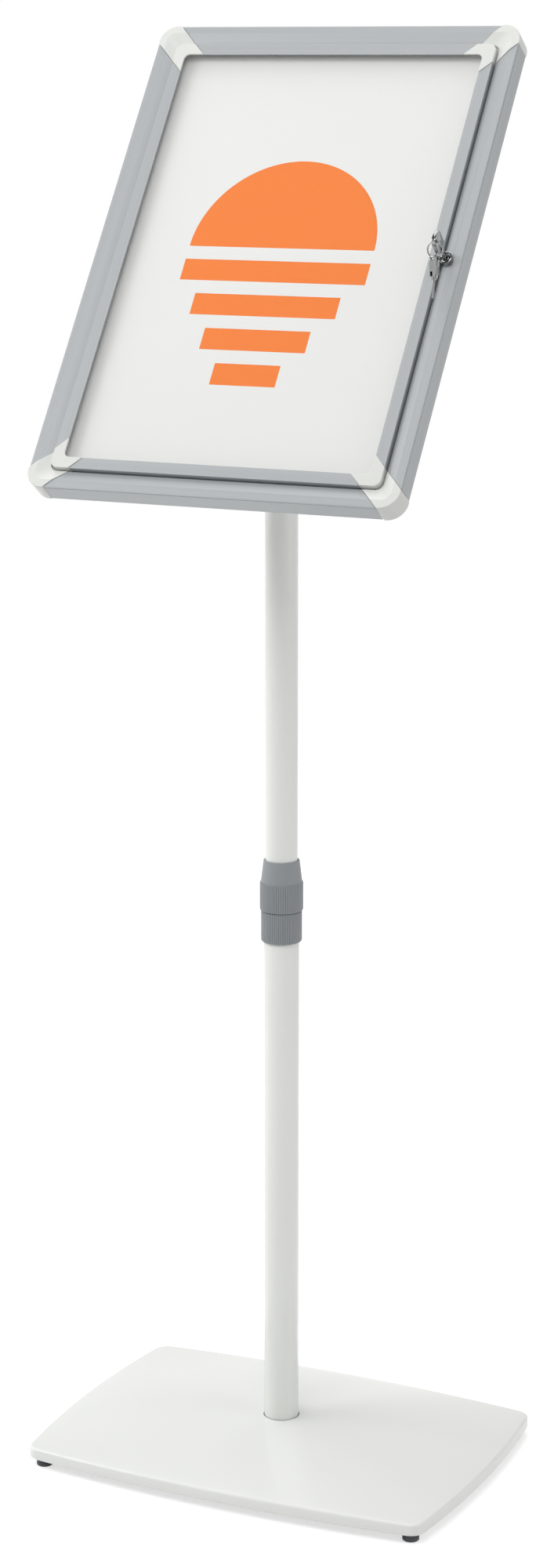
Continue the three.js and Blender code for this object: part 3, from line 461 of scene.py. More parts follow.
def ringed(name, rings, closed=False):
    """Extrudes a circle ring by ring. A closed piece joins its last ring to its first, others are capped."""
    deselect_all()
    count = len(rings[0])
    bpy.ops.mesh.primitive_circle_add(vertices=count, radius=rings[0][0].length, fill_type="NOTHING")
    piece = bpy.context.object
    piece.name = name
    for vertex, place in zip(piece.data.vertices, rings[0]):
        vertex.co = place
    bpy.ops.object.mode_set(mode="EDIT")
    bpy.ops.mesh.select_all(action="SELECT")
    mesh = bmesh.from_edit_mesh(piece.data)
    mesh.verts.ensure_lookup_table()
    order = {vertex.index: k for k, vertex in enumerate(mesh.verts)}
    if not closed:
        bpy.ops.mesh.edge_face_add()
    for ring in rings[1:]:
        bpy.ops.mesh.extrude_region_move()
        mesh = bmesh.from_edit_mesh(piece.data)
        mesh.verts.index_update()
        mesh.verts.ensure_lookup_table()
        fresh = {}
        for vertex in mesh.verts:
            if vertex.select:
                old = next(edge.other_vert(vertex) for edge in vertex.link_edges
                           if not edge.other_vert(vertex).select)
                fresh[vertex.index] = order[old.index]
        for index, k in fresh.items():
            mesh.verts[index].co = ring[k]
        order = fresh
        bmesh.update_edit_mesh(piece.data)
    if closed:
        mesh = bmesh.from_edit_mesh(piece.data)
        for edge in mesh.edges:
            edge.select = edge.is_boundary
        bmesh.update_edit_mesh(piece.data)
        bpy.ops.mesh.bridge_edge_loops()
    bpy.ops.mesh.select_all(action="SELECT")
    bpy.ops.mesh.normals_make_consistent(inside=False)
    bpy.ops.object.mode_set(mode="OBJECT")
    return piece


def circle(radius, height, count):
    """A ring of points about Z."""
    turns = (2 * pi * k / count for k in range(count))
    return [Vector((radius * cos(t), radius * sin(t), height)) for t in turns]


def turned(name, profile, count=ROUND_STEPS, closed=False):
    """A piece turned about Z from its radii and heights."""
    return ringed(name, [circle(r, z, count) for r, z in profile], closed)


# Helpers for finishes
def add_node(tree, kind, **values):
    """A shader node with its own settings."""
    node = tree.nodes.new(kind)
    for key, value in values.items():
        setattr(node, key, value)
    return node


def set_inputs(node, **values):
    """Sets a node's inputs by name, with underscores for spaces."""
    for key, value in values.items():
        node.inputs[key.replace("_", " ")].default_value = value


def number(tree, operation, first, second=None):
    """A Math node on sockets or plain numbers."""
    node = add_node(tree, "ShaderNodeMath", operation=operation)
    for k, value in enumerate((first, second)):
        if value is None:
            continue
        if isinstance(value, (int, float)):
            node.inputs[k].default_value = value
        else:
            tree.links.new(value, node.inputs[k])
    return node.outputs[0]


def between(tree, value, low, high):
    """One where the value lies between two others."""
    over = number(tree, "GREATER_THAN", value, low)
    under = number(tree, "LESS_THAN", value, high)
    return number(tree, "MULTIPLY", over, under)


def mix_colours(tree, share, first, second):
    """A colour between two others, by a socket from 0 to 1."""
    node = add_node(tree, "ShaderNodeMix", data_type="RGBA")
    colours = [socket for socket in node.inputs if socket.type == "RGBA"]
    for socket, value in zip(colours, (first, second)):
        if isinstance(value, bpy.types.NodeSocket):
            tree.links.new(value, socket)
        else:
            socket.default_value = (*value, 1.0)
    tree.links.new(share, node.inputs[0])
    return next(socket for socket in node.outputs if socket.type == "RGBA")


def spread(tree, value, low, high):
    """Spreads a value from 0 to 1 over a range."""
    node = add_node(tree, "ShaderNodeMapRange")
    tree.links.new(value, node.inputs["Value"])
    node.inputs["To Min"].default_value = low
    node.inputs["To Max"].default_value = high
    return node.outputs["Result"]


def start_group(name, inputs):
    """A node group that gives a height and a tone, and its input and output nodes."""
    group = bpy.data.node_groups.new(name, "ShaderNodeTree")
    for socket, kind, value in inputs:
        made = group.interface.new_socket(socket, in_out="INPUT", socket_type=kind)
        made.default_value = value
    for socket in ("Height", "Tone"):
        group.interface.new_socket(socket, in_out="OUTPUT", socket_type="NodeSocketFloat")
    return group, add_node(group, "NodeGroupInput"), add_node(group, "NodeGroupOutput")


def grain_group():
    """Fine texture of a moulded or coated face: its height and its slow change of tone."""
    if "Fine grain" in bpy.data.node_groups:
        return bpy.data.node_groups["Fine grain"]
    group, source, result = start_group(
        "Fine grain",
        [("Grain scale", "NodeSocketFloat", 900.0), ("Tone scale", "NodeSocketFloat", 6.0)])
    place = add_node(group, "ShaderNodeTexCoord").outputs["Object"]
    for scale, output in (("Grain scale", "Height"), ("Tone scale", "Tone")):
        noise = add_node(group, "ShaderNodeTexNoise")
        set_inputs(noise, Detail=3.0, Roughness=0.55)
        group.links.new(place, noise.inputs["Vector"])
        group.links.new(source.outputs[scale], noise.inputs["Scale"])
        group.links.new(noise.outputs["Fac"], result.inputs[output])
    return group


def line_group():
    """Fine lines that an extruded or brushed face has along its length."""
    if "Drawn lines" in bpy.data.node_groups:
        return bpy.data.node_groups["Drawn lines"]
    group, source, result = start_group(
        "Drawn lines",
        [("Turn", "NodeSocketVector", (0.0, 0.0, 0.0)), ("Stretch", "NodeSocketVector", (1.0, 1.0, 1.0))])
    place = add_node(group, "ShaderNodeTexCoord").outputs["Object"]
    turn = add_node(group, "ShaderNodeMapping", vector_type="TEXTURE")
    stretch = add_node(group, "ShaderNodeMapping", vector_type="POINT")
    group.links.new(place, turn.inputs["Vector"])
    group.links.new(source.outputs["Turn"], turn.inputs["Rotation"])
    group.links.new(turn.outputs["Vector"], stretch.inputs["Vector"])
    group.links.new(source.outputs["Stretch"], stretch.inputs["Scale"])
    for scale, detail, output in ((1.0, 4.0, "Height"), (0.12, 2.0, "Tone")):
        noise = add_node(group, "ShaderNodeTexNoise")
        set_inputs(noise, Scale=scale, Detail=detail, Roughness=0.6)
        group.links.new(stretch.outputs["Vector"], noise.inputs["Vector"])
        group.links.new(noise.outputs["Fac"], result.inputs[output])
    return group


def start_finish(name):
    """A new material with its node tree and its Principled shader."""
    material = bpy.data.materials.new(name)
    material.use_nodes = True
    tree = material.node_tree
    return material, tree, tree.nodes["Principled BSDF"]


def add_relief(tree, shader, height, strength, distance):
    """Gives a shader fine relief from a height socket."""
    bump = add_node(tree, "ShaderNodeBump")
    set_inputs(bump, Strength=strength, Distance=distance)
    tree.links.new(height, bump.inputs["Height"])
    tree.links.new(bump.outputs["Normal"], shader.inputs["Normal"])


def grained_finish(name, colour, rough, grain, tone, depth=MOULD_DEPTH, metal=0.0, coat=0.0):
    """A finish with fine grain: paint, moulded plastic, rubber or plated steel."""
    material, tree, shader = start_finish(name)
    group = add_node(tree, "ShaderNodeGroup", node_tree=grain_group())
    group.inputs["Grain scale"].default_value = grain
    darker = tuple(c * (1 - tone) for c in colour)
    shade = mix_colours(tree, group.outputs["Tone"], darker, colour)
    tree.links.new(shade, shader.inputs["Base Color"])
    tree.links.new(spread(tree, group.outputs["Tone"], *rough), shader.inputs["Roughness"])
    add_relief(tree, shader, group.outputs["Height"], GRAIN_STRENGTH, depth)
    shader.inputs["Metallic"].default_value = metal
    shader.inputs["Coat Weight"].default_value = coat
    return material


def lined_finish(name, stretch):
    """Anodised aluminium with its drawing lines."""
    colour = bpy.context.scene.stand_colours.aluminium
    material, tree, shader = start_finish(name)
    group = add_node(tree, "ShaderNodeGroup", node_tree=line_group())
    group.inputs["Turn"].default_value = (pi / 2 - LEAN, 0, 0)
    group.inputs["Stretch"].default_value = stretch
    lighter = tuple(min(c * LIGHT_SHARE, 1.0) for c in colour)
    darker = tuple(c * DARK_SHARE for c in colour)
    shade = mix_colours(tree, group.outputs["Tone"], darker, lighter)
    tree.links.new(shade, shader.inputs["Base Color"])
    tree.links.new(spread(tree, group.outputs["Height"], *ANODISED_ROUGHNESS), shader.inputs["Roughness"])
    add_relief(tree, shader, group.outputs["Height"], LINE_STRENGTH, LINE_DEPTH)
    shader.inputs["Metallic"].default_value = ANODISED_METAL
    return material


def paint_finish():
    colour = bpy.context.scene.stand_colours.paint
    return grained_finish(
        "White powder coat", colour, rough=(0.26, 0.34), grain=700.0, tone=0.03, depth=PEEL_DEPTH,
        coat=0.35)


def corner_finish():
    colour = bpy.context.scene.stand_colours.corner
    return grained_finish("White moulded plastic", colour, rough=(0.34, 0.42), grain=1500.0, tone=0.03)


def collar_finish():
    colour = bpy.context.scene.stand_colours.collar
    return grained_finish("Grey moulded plastic", colour, rough=(0.42, 0.52), grain=1200.0, tone=0.08)


def rubber_finish():
    colour = bpy.context.scene.stand_colours.rubber
    return grained_finish("Grey rubber", colour, rough=(0.6, 0.75), grain=1600.0, tone=0.15)


def knob_finish():
    return grained_finish("Black moulded plastic", KNOB_BLACK, rough=(0.45, 0.55), grain=1400.0, tone=0.1)


def zinc_finish():
    return grained_finish(
        "Zinc plate", ZINC_GREY, rough=(0.24, 0.42), grain=500.0, tone=0.15, depth=PLATE_DEPTH, metal=1.0)


def nickel_finish():
    # Its grey holds painted shade for the dark surroundings that polished nickel would reflect
    return grained_finish(
        "Polished nickel", NICKEL_GREY_AND_PAINTED_SHADE, rough=(0.06, 0.14), grain=900.0, tone=0.15, depth=PLATE_DEPTH,
        metal=1.0)


def panel_finish():
    colour = bpy.context.scene.stand_colours.panel
    return grained_finish("White board skin", colour, rough=(0.5, 0.6), grain=1100.0, tone=0.04)


def across_finish():
    return lined_finish("Anodised aluminium across", (ALONG_LENGTH, ACROSS_LENGTH, ACROSS_LENGTH))


def upright_finish():
    return lined_finish("Anodised aluminium upright", (ACROSS_LENGTH, ALONG_LENGTH, ACROSS_LENGTH))


def acrylic_finish():
    """Clear sheet that lets lamp light through to the print."""
    material, tree, shader = start_finish("Clear acrylic")
    group = add_node(tree, "ShaderNodeGroup", node_tree=grain_group())
    group.inputs["Grain scale"].default_value = CLEAR_GRAIN
    tree.links.new(spread(tree, group.outputs["Tone"], *CLEAR_ROUGHNESS), shader.inputs["Roughness"])
    add_relief(tree, shader, group.outputs["Height"], CLEAR_STRENGTH, PLATE_DEPTH)
    shader.inputs["Base Color"].default_value = (*CLEAR_TINT, 1.0)
    set_inputs(shader, Transmission_Weight=1.0, IOR=CLEAR_INDEX)
    clear = add_node(tree, "ShaderNodeBsdfTransparent")
    path = add_node(tree, "ShaderNodeLightPath")
    mix = add_node(tree, "ShaderNodeMixShader")
    hidden = number(tree, "MAXIMUM", path.outputs["Is Shadow Ray"], path.outputs["Is Diffuse Ray"])
    tree.links.new(hidden, mix.inputs[0])
    tree.links.new(shader.outputs["BSDF"], mix.inputs[1])
    tree.links.new(clear.outputs["BSDF"], mix.inputs[2])
    tree.links.new(mix.outputs[0], tree.nodes["Material Output"].inputs["Surface"])
    return material


def sheet_finish():
    """White paper with a half disc over a row of shortening bars."""
    colours = bpy.context.scene.stand_colours
    material, tree, shader = start_finish("Printed paper")
    place = add_node(tree, "ShaderNodeTexCoord").outputs["Object"]
    turn = add_node(tree, "ShaderNodeMapping", vector_type="TEXTURE")
    turn.inputs["Location"].default_value = board_matrix().to_translation()
    turn.inputs["Rotation"].default_value = (pi / 2 - LEAN, 0, 0)
    tree.links.new(place, turn.inputs["Vector"])
    split = add_node(tree, "ShaderNodeSeparateXYZ")
    tree.links.new(turn.outputs["Vector"], split.inputs["Vector"])
    across, up = split.outputs["X"], split.outputs["Y"]
    lifted = number(tree, "SUBTRACT", up, SUN_BASE)
    squares = number(tree, "ADD", number(tree, "POWER", across, 2.0), number(tree, "POWER", lifted, 2.0))
    disc = number(tree, "LESS_THAN", number(tree, "SQRT", squares), SUN_RADIUS)
    ink = number(tree, "MULTIPLY", disc, number(tree, "GREATER_THAN", lifted, 0.0))
    width = number(tree, "ABSOLUTE", across)
    for k in range(BAR_COUNT):
        top = SUN_BASE - BAR_GAP - k * (BAR_HEIGHT + BAR_GAP)
        tall = between(tree, up, top - BAR_HEIGHT, top)
        wide = number(tree, "LESS_THAN", width, BAR_HALF_WIDTH - k * BAR_STEP)
        ink = number(tree, "MAXIMUM", ink, number(tree, "MULTIPLY", tall, wide))
    group = add_node(tree, "ShaderNodeGroup", node_tree=grain_group())
    group.inputs["Grain scale"].default_value = PAPER_GRAIN
    paper = tuple(colours.sheet)
    darker = tuple(c * PAPER_DARK_SHARE for c in paper)
    stock = mix_colours(tree, group.outputs["Tone"], darker, paper)
    printed = mix_colours(tree, ink, stock, tuple(colours.print_colour))
    tree.links.new(printed, shader.inputs["Base Color"])
    tree.links.new(spread(tree, ink, *PAPER_ROUGHNESS), shader.inputs["Roughness"])
    add_relief(tree, shader, group.outputs["Height"], PAPER_STRENGTH, MOULD_DEPTH)
    shader.inputs["Specular IOR Level"].default_value = PAPER_SHEEN
    return material


FINISHES = {
    "paint": paint_finish, "corner": corner_finish, "collar": collar_finish, "rubber": rubber_finish,
    "knob": knob_finish, "zinc": zinc_finish, "nickel": nickel_finish, "panel": panel_finish,
    "across": across_finish, "upright": upright_finish, "acrylic": acrylic_finish, "sheet": sheet_finish,
}
made_finishes = {}


def finish(name):
    """A finish by its name, made the first time that it is asked for."""
    if name not in made_finishes:
        made_finishes[name] = FINISHES[name]()
    return made_finishes[name]


# Foot and mast
def foot_outline(inset):
    """The bowed outline of the foot, as points in order: half of it, and the same turned half round."""
    x, y = FOOT_HALF_WIDTH - inset, FOOT_HALF_DEPTH - inset
    corner = FOOT_CORNER - inset / 2
    run_x, run_y = x - corner, y - corner
    end_x = x + FOOT_BULGE_SIDE * (1 - (run_y / y) ** 2)
    end_y = y + FOOT_BULGE_FRONT * (1 - (run_x / x) ** 2)
    bow_x = x + FOOT_BULGE_SIDE * (1 + (run_y / y) ** 2)
    bow_y = y + FOOT_BULGE_FRONT * (1 + (run_x / x) ** 2)
    curves = [
        ((end_x, -run_y), (bow_x, 0), (end_x, run_y), SIDE_STEPS),
        ((end_x, run_y), (x, y), (run_x, end_y), CORNER_STEPS),
        ((run_x, end_y), (0, bow_y), (-run_x, end_y), SIDE_STEPS),
        ((-run_x, end_y), (-x, y), (-end_x, run_y), CORNER_STEPS),
    ]
    points = []
    for start, control, end, steps in curves:
        a, b, c = Vector(start), Vector(control), Vector(end)
        for k in range(steps):
            t = k / steps
            points.append(a * (1 - t) ** 2 + b * 2 * t * (1 - t) + c * t ** 2)
    return points + [-point for point in points]


def crown_at(x, y):
    """Rise of the foot's top over its edge."""
    u = x / (FOOT_HALF_WIDTH + FOOT_BULGE_SIDE * (1 - (y / FOOT_HALF_DEPTH) ** 2))
    v = y / (FOOT_HALF_DEPTH + FOOT_BULGE_FRONT * (1 - (x / FOOT_HALF_WIDTH) ** 2))
    crown = bpy.context.scene.stand_sizes.foot_crown
    return crown * max(1 - u * u, 0) * max(1 - v * v, 0)


def foot_ring(outline, share, height_at):
    """The outline drawn in towards the round hole of the tube."""
    ring = []
    for point in outline:
        hole = point.normalized() * TUBE_HOLE
        place = hole.lerp(point, share)
        ring.append(Vector((place.x, place.y, height_at(place.x, place.y))))
    return ring


class MakeFoot(bpy.types.Operator):
    """Crowned steel foot with bowed sides, a rolled edge and a hollow underside"""

    bl_idname = "stand.make_foot"
    bl_label = "Foot"

    def execute(self, context):
        top = FOOT_UNDERSIDE + FOOT_EDGE
        edge, drawn = foot_outline(0), foot_outline(FOOT_FILLET)
        rings = [
            foot_ring(foot_outline(FOOT_CHAMFER), 1, lambda x, y: FOOT_UNDERSIDE),
            foot_ring(edge, 1, lambda x, y: FOOT_UNDERSIDE + FOOT_CHAMFER),
        ]
        for k in range(FILLET_STEPS + 1):
            turn = k / FILLET_STEPS * pi / 2
            drop = FOOT_FILLET * (1 - sin(turn))
            outline = foot_outline(FOOT_FILLET * (1 - cos(turn)))
            rings.append(foot_ring(outline, 1, lambda x, y: top + crown_at(x, y) - drop))
        for k in range(1, CROWN_STEPS + 1):
            share = 1 - k / CROWN_STEPS
            rings.append(foot_ring(drawn, share, lambda x, y: top + crown_at(x, y)))
        for k in range(CROWN_STEPS // 2 + 1):
            share = RECESS_SHARE * k / (CROWN_STEPS // 2)
            rings.append(foot_ring(edge, share, lambda x, y: top + crown_at(x, y) - FOOT_SKIN))
        rings.append(foot_ring(edge, RECESS_SHARE, lambda x, y: FOOT_UNDERSIDE))
        piece = ringed("steel_foot", rings, closed=True)
        smooth(piece)
        dress(piece, "stand", finish("paint"), "base_plate")
        return {"FINISHED"}


class MakePads(bpy.types.Operator):
    """Four round rubber pads under the foot"""

    bl_idname = "stand.make_pads"
    bl_label = "Rubber pads"

    def execute(self, context):
        low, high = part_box("foot_front_left")
        radius, height = (high.x - low.x) / 2, FOOT_UNDERSIDE - PIECE_GAP
        groove = radius * PAD_GROOVE_SHARE
        profile = [
            (radius - groove, 0), (radius, groove), (radius, height / 2 - groove),
            (radius - groove, height / 2), (radius, height / 2 + groove), (radius, height),
        ]
        model = turned("rubber_pad", profile, SMALL_STEPS)
        apply_bevel(model, SMALL_ROUND)
        smooth(model)
        for corner in ("front_left", "front_right", "rear_left", "rear_right"):
            node = "foot_" + corner
            low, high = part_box(node)
            place = Matrix.Translation(((low.x + high.x) / 2, (low.y + high.y) / 2, 0))
            piece = placed_copy(model, "rubber_pad_" + corner, place)
            dress(piece, "stand", finish("rubber"), node)
        bpy.data.objects.remove(model)
        return {"FINISHED"}


class MakeTubes(bpy.types.Operator):
    """Lower and upper tube of the mast"""

    bl_idname = "stand.make_tubes"
    bl_label = "Tubes"

    def execute(self, context):
        for node, body in (("lower_tube", "stand"), ("upper_tube", "mast")):
            low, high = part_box(node)
            outer = (high.x - low.x) / 2
            inner = outer - TUBE_WALL
            profile = [(inner, low.z), (outer, low.z), (outer, high.z), (inner, high.z)]
            piece = turned(node.replace("tube", "mast_tube"), profile, closed=True)
            apply_bevel(piece, SMALL_ROUND)
            smooth(piece)
            dress(piece, body, finish("paint"), node)
        return {"FINISHED"}


def rib_ring(radius, depth, height):
    """A ring of points whose radius drops between the ribs."""
    ribs = bpy.context.scene.stand_sizes.rib_count
    points = len(RIB_PROFILE_SHARES)
    ring = []
    for k in range(ribs * points):
        turn = 2 * pi * k / (ribs * points)
        far = radius - depth * (1 - RIB_PROFILE_SHARES[k % points])
        ring.append(Vector((far * cos(turn), far * sin(turn), height)))
    return ring


def ribbed(name, profile):
    """A closed piece about Z from rows of radius, rib depth and height."""
    piece = ringed(name, [rib_ring(*row) for row in profile], closed=True)
    smooth(piece)
    return piece


class MakeCollar(bpy.types.Operator):
    """Ribbed lower ring and clamp nut of the collar"""

    bl_idname = "stand.make_collar"
    bl_label = "Collar"

    def execute(self, context):
        bore = LOWER_TUBE_RADIUS + PIECE_GAP
        top = RING_TOP - PIECE_GAP
        ring = [
            (bore, 0, COLLAR_BOTTOM),
            (RING_RADIUS - COLLAR_CHAMFER, 0, COLLAR_BOTTOM),
            (RING_RADIUS - COLLAR_LIP, 0, COLLAR_BOTTOM + COLLAR_LIP),
            (RING_RADIUS, RIB_DEPTH, COLLAR_BOTTOM + COLLAR_CHAMFER),
            (RING_RADIUS, RIB_DEPTH, top - COLLAR_LIP),
            (RING_RADIUS - COLLAR_LIP, 0, top),
            (bore, 0, top),
        ]
        lower = ribbed("collar_lower_ring", ring)
        dress(lower, "stand", finish("collar"), "collar_ring")
        nut_bore = NECK_RADIUS + PIECE_GAP
        shell = UPPER_TUBE_RADIUS + PIECE_GAP
        nut = [
            (nut_bore, 0, RING_TOP),
            (NUT_RADIUS - COLLAR_CHAMFER, 0, RING_TOP),
            (NUT_RADIUS - COLLAR_LIP, 0, RING_TOP + COLLAR_LIP),
            (NUT_RADIUS, RIB_DEPTH, RING_TOP + COLLAR_CHAMFER),
            (NUT_RADIUS, RIB_DEPTH, STEP_HEIGHT - COLLAR_LIP),
            (NUT_RADIUS - COLLAR_LIP, 0, STEP_HEIGHT),
            (CONE_FOOT_RADIUS, 0, STEP_HEIGHT),
            (CONE_TOP_RADIUS, 0, COLLAR_TOP - COLLAR_LIP),
            (CONE_TOP_RADIUS - COLLAR_LIP, 0, COLLAR_TOP),
            (shell, 0, COLLAR_TOP),
            (shell, 0, COLLAR_TOP - COLLAR_CHAMFER),
            (nut_bore, 0, STEP_HEIGHT),
        ]
        upper = ribbed("collar_clamp_nut", nut)
        dress(upper, "clamp", finish("collar"), "clamp_nut")
        return {"FINISHED"}


class MakeHeadFittings(bpy.types.Operator):
    """Tilt tongue, bracket, screws, bolt and knob behind the case"""

    bl_idname = "stand.make_head_fittings"
    bl_label = "Head fittings"

    def execute(self, context):
        rows = [
            ("tilt_tongue", "mast", "collar", "grey_plastic"),
            ("tilt_bracket", "head", "paint", "white_paint"),
            ("tilt_bolt", "head", "zinc", "zinc_steel"),
            ("tilt_knob", "knob", "knob", "black_plastic"),
        ]
        rows += [(f"bracket_screw_{k}", "head", "zinc", "zinc_steel") for k in range(1, 5)]
        dress_copies(rows, SMALL_ROUND)
        return {"FINISHED"}


class DressHiddenParts(bpy.types.Operator):
    """Finishes for the parts inside the foot, the mast, the hinge and the lock"""

    bl_idname = "stand.dress_hidden_parts"
    bl_label = "Hidden parts"

    def execute(self, context):
        finishes = {
            "socket_disc": "zinc", "tube_insert": "collar", "base_bolt": "zinc", "collet": "collar",
            "guide_bush": "collar", "hinge_frame_leaf": "upright", "hinge_door_leaf": "upright",
            "hinge_pin": "zinc", "lock_cam": "zinc", "cam_screw": "zinc",
        }
        for node, name in finishes.items():
            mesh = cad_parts[node].data
            mesh.materials.clear()
            mesh.materials.append(finish(name))
        return {"FINISHED"}


# Case and door
def corner_place(k):
    """The place of corner k of the case, counted anticlockwise from the top right."""
    x, y = CASE_WIDTH / 2, CASE_HEIGHT / 2
    place = Matrix.Translation(((x, -x, -x, x)[k], (y, y, -y, -y)[k], 0))
    return board_matrix() @ place @ Matrix.Rotation(k * pi / 2, 4, "Z")


def corner_body(name, section, radius_at):
    """Carries a section round a corner, from one mitre to the other."""
    rings = [[Vector((-inward, -inward - CORNER_REACH, up)) for inward, up in section]]
    for k in range(ARC_STEPS + 1):
        turn = k / ARC_STEPS * pi / 2
        ring = []
        for inward, up in section:
            radius = radius_at(inward)
            centre = -inward - radius
            ring.append(Vector((centre + radius * cos(turn), centre + radius * sin(turn), up)))
        rings.append(ring)
    rings.append([Vector((-inward - CORNER_REACH, -inward, up)) for inward, up in section])
    return ringed(name, rings)


def dress_corners(model, name, body, node):
    """Puts a copy of a modelled corner at each corner of the case, and removes the model."""
    for k, corner in enumerate(CORNER_NAMES):
        piece = placed_copy(model, name + corner, corner_place(k))
        dress(piece, body, finish("corner"), node + corner)
    bpy.data.objects.remove(model)


def case_turn(inward):
    """Radius that a line of the case's corner turns on."""
    return max(CORNER_RADIUS - inward, INNER_CORNER_RADIUS)


def door_turn(inward):
    """Radius that a line of the door's corner turns on."""
    door_edge = RIM_WIDTH + SLOPE_WIDTH + DOOR_GAP
    return max(DOOR_CORNER_RADIUS + door_edge - inward, DOOR_INNER_RADIUS)


def case_corner_section():
    """The case corner's section: back flange, ledge, slope and rim."""
    slope_edge = RIM_WIDTH + SLOPE_WIDTH
    wall = slope_edge - FRAME_WALL + PIECE_GAP
    ledge = slope_edge + LEDGE_REACH
    ledge_bottom = -LEDGE_TOP - LEDGE_THICKNESS
    proud, fillet = CORNER_PROUD, PROFILE_FILLET
    return [
        (-proud, -FRAME_DEPTH - proud), (REAR_FLANGE_REACH, -FRAME_DEPTH - proud),
        (REAR_FLANGE_REACH, FRAME_WALL - FRAME_DEPTH), (wall, FRAME_WALL - FRAME_DEPTH),
        (wall, ledge_bottom), (ledge, ledge_bottom), (ledge, -LEDGE_TOP), (slope_edge, -LEDGE_TOP),
        (slope_edge, -SLOPE_DROP), (RIM_WIDTH, proud),
        *quarter(fillet - proud, proud - fillet, fillet, pi / 2, pi),
    ]


def door_corner_section():
    """The door corner's section: face, lip, glazing slot and retainer."""
    door_edge = RIM_WIDTH + SLOPE_WIDTH + DOOR_GAP
    glass_edge = door_edge + DOOR_FACE_WIDTH
    slot = door_edge + GLAZING_SLOT
    face = DOOR_FACE_RISE + DOOR_CORNER_PROUD
    lip = DOOR_FACE_RISE - DOOR_LIP
    bottom = DOOR_FACE_RISE - DOOR_DEPTH
    retainer_top = lip - GLAZING_THICKNESS - 2 * PIECE_GAP
    retainer_bottom = retainer_top - RETAINER_THICKNESS
    fillet = PROFILE_FILLET / 2
    return [
        (door_edge, bottom),
        *quarter(door_edge + fillet, face - fillet, fillet, pi, pi / 2),
        *quarter(glass_edge - fillet, face - fillet, fillet, pi / 2, 0),
        (glass_edge, lip), (slot, lip), (slot, retainer_top), (slot + RETAINER_REACH, retainer_top),
        (slot + RETAINER_REACH, retainer_bottom), (door_edge + DOOR_WALL, retainer_bottom),
        (door_edge + DOOR_WALL, bottom),
    ]


def corner_legs():
    """The two legs of a case corner, which plug into the hollow profiles."""
    wall = RIM_WIDTH + SLOPE_WIDTH - FRAME_WALL
    top = -SLOPE_DROP - FRAME_WALL
    near, far = FRAME_WALL + PIECE_GAP, wall - PIECE_GAP
    end = CORNER_REACH + wall + CORNER_LEG_LENGTH
    down = ((-far, -end, top - CORNER_LEG_DEPTH), (-near, -CORNER_REACH, top))
    left = ((-end, -far, top - CORNER_LEG_DEPTH), (-CORNER_REACH, -near, top))
    return [block(*down), block(*left)]


class MakeFrame(bpy.types.Operator):
    """Aluminium profiles and plastic corners of the case"""

    bl_idname = "stand.make_frame"
    bl_label = "Case frame"

    def execute(self, context):
        sizes = context.scene.stand_sizes
        heights = (-PROFILE_FILLET, -SLOPE_DROP)
        for side, name in SIDE_FINISHES.items():
            node = "frame_" + side
            piece = profile_copy(node, "case_profile_" + side, sizes.edge_round, *heights)
            dress(piece, "head", finish(name), node)
        model = corner_body("case_corner", case_corner_section(), case_turn)
        for leg in corner_legs():
            combine(model, leg)
        round_edges(model, sizes.corner_round)
        even_faces(model)
        dress_corners(model, "case_corner_", "head", "frame_corner_")
        return {"FINISHED"}


class MakeDoor(bpy.types.Operator):
    """Aluminium profiles, plastic corners and clear glazing of the door"""

    bl_idname = "stand.make_door"
    bl_label = "Door"

    def execute(self, context):
        sizes = context.scene.stand_sizes
        lowest = DOOR_FACE_RISE - PROFILE_FILLET / 2
        for side, name in SIDE_FINISHES.items():
            node = "door_" + side
            piece = profile_copy(node, "door_profile_" + side, sizes.edge_round, lowest)
            dress(piece, "door", finish(name), node)
        model = corner_body("door_corner_piece", door_corner_section(), door_turn)
        round_edges(model, sizes.edge_round)
        even_faces(model)
        dress_corners(model, "door_corner_piece_", "door", "door_corner_")
        pane = refined_copy("glazing", "door_glazing", 0)
        dress(pane, "door", finish("acrylic"), "glazing")
        return {"FINISHED"}


class MakeSheet(bpy.types.Operator):
    """Back board and the printed sheet on it"""

    bl_idname = "stand.make_sheet"
    bl_label = "Board and sheet"

    def execute(self, context):
        board = refined_copy("back_panel", "back_board", SMALL_ROUND)
        dress(board, "head", finish("panel"), "back_panel")
        sheet = refined_copy("poster", "printed_sheet", 0)
        dress(sheet, "head", finish("sheet"), "poster")
        return {"FINISHED"}


# Lock and keys
class MakeLock(bpy.types.Operator):
    """Lock housing and plug"""

    bl_idname = "stand.make_lock"
    bl_label = "Lock"

    def execute(self, context):
        rows = [
            ("lock_housing", "head", "nickel", "bright_nickel"),
            ("lock_plug", "plug", "nickel", "bright_nickel"),
        ]
        dress_copies(rows, TINY_ROUND)
        return {"FINISHED"}


def ring_lift(turns):
    """Height of the wire over the ring's middle: it steps up between its two ends."""
    share = min(max((turns - 1 + RING_OPENING) / RING_OPENING, 0), 1)
    return WIRE_LIFT * (share * share * (3 - 2 * share) - 0.5)


def split_ring(name):
    """Nearly two turns of flattened wire, lying on each other."""
    section = []
    for k in range(WIRE_STEPS):
        out, up = cos(2 * pi * k / WIRE_STEPS), sin(2 * pi * k / WIRE_STEPS)
        size = (abs(out) ** WIRE_SQUARENESS + abs(up) ** WIRE_SQUARENESS) ** (-1 / WIRE_SQUARENESS)
        section.append((WIRE_WIDTH / 2 * out * size, WIRE_HEIGHT / 2 * up * size))
    rings = []
    for k in range(RING_STEPS + 1):
        turns = (2 - RING_OPENING) * k / RING_STEPS
        angle = RING_START + 2 * pi * turns
        ring = []
        for out, up in section:
            far = SPLIT_RING_RADIUS + out
            ring.append(Vector((far * cos(angle), up + ring_lift(turns), far * sin(angle))))
        rings.append(ring)
    piece = ringed(name, rings)
    piece.location = SPLIT_RING_PLACE
    settle(piece)
    return piece


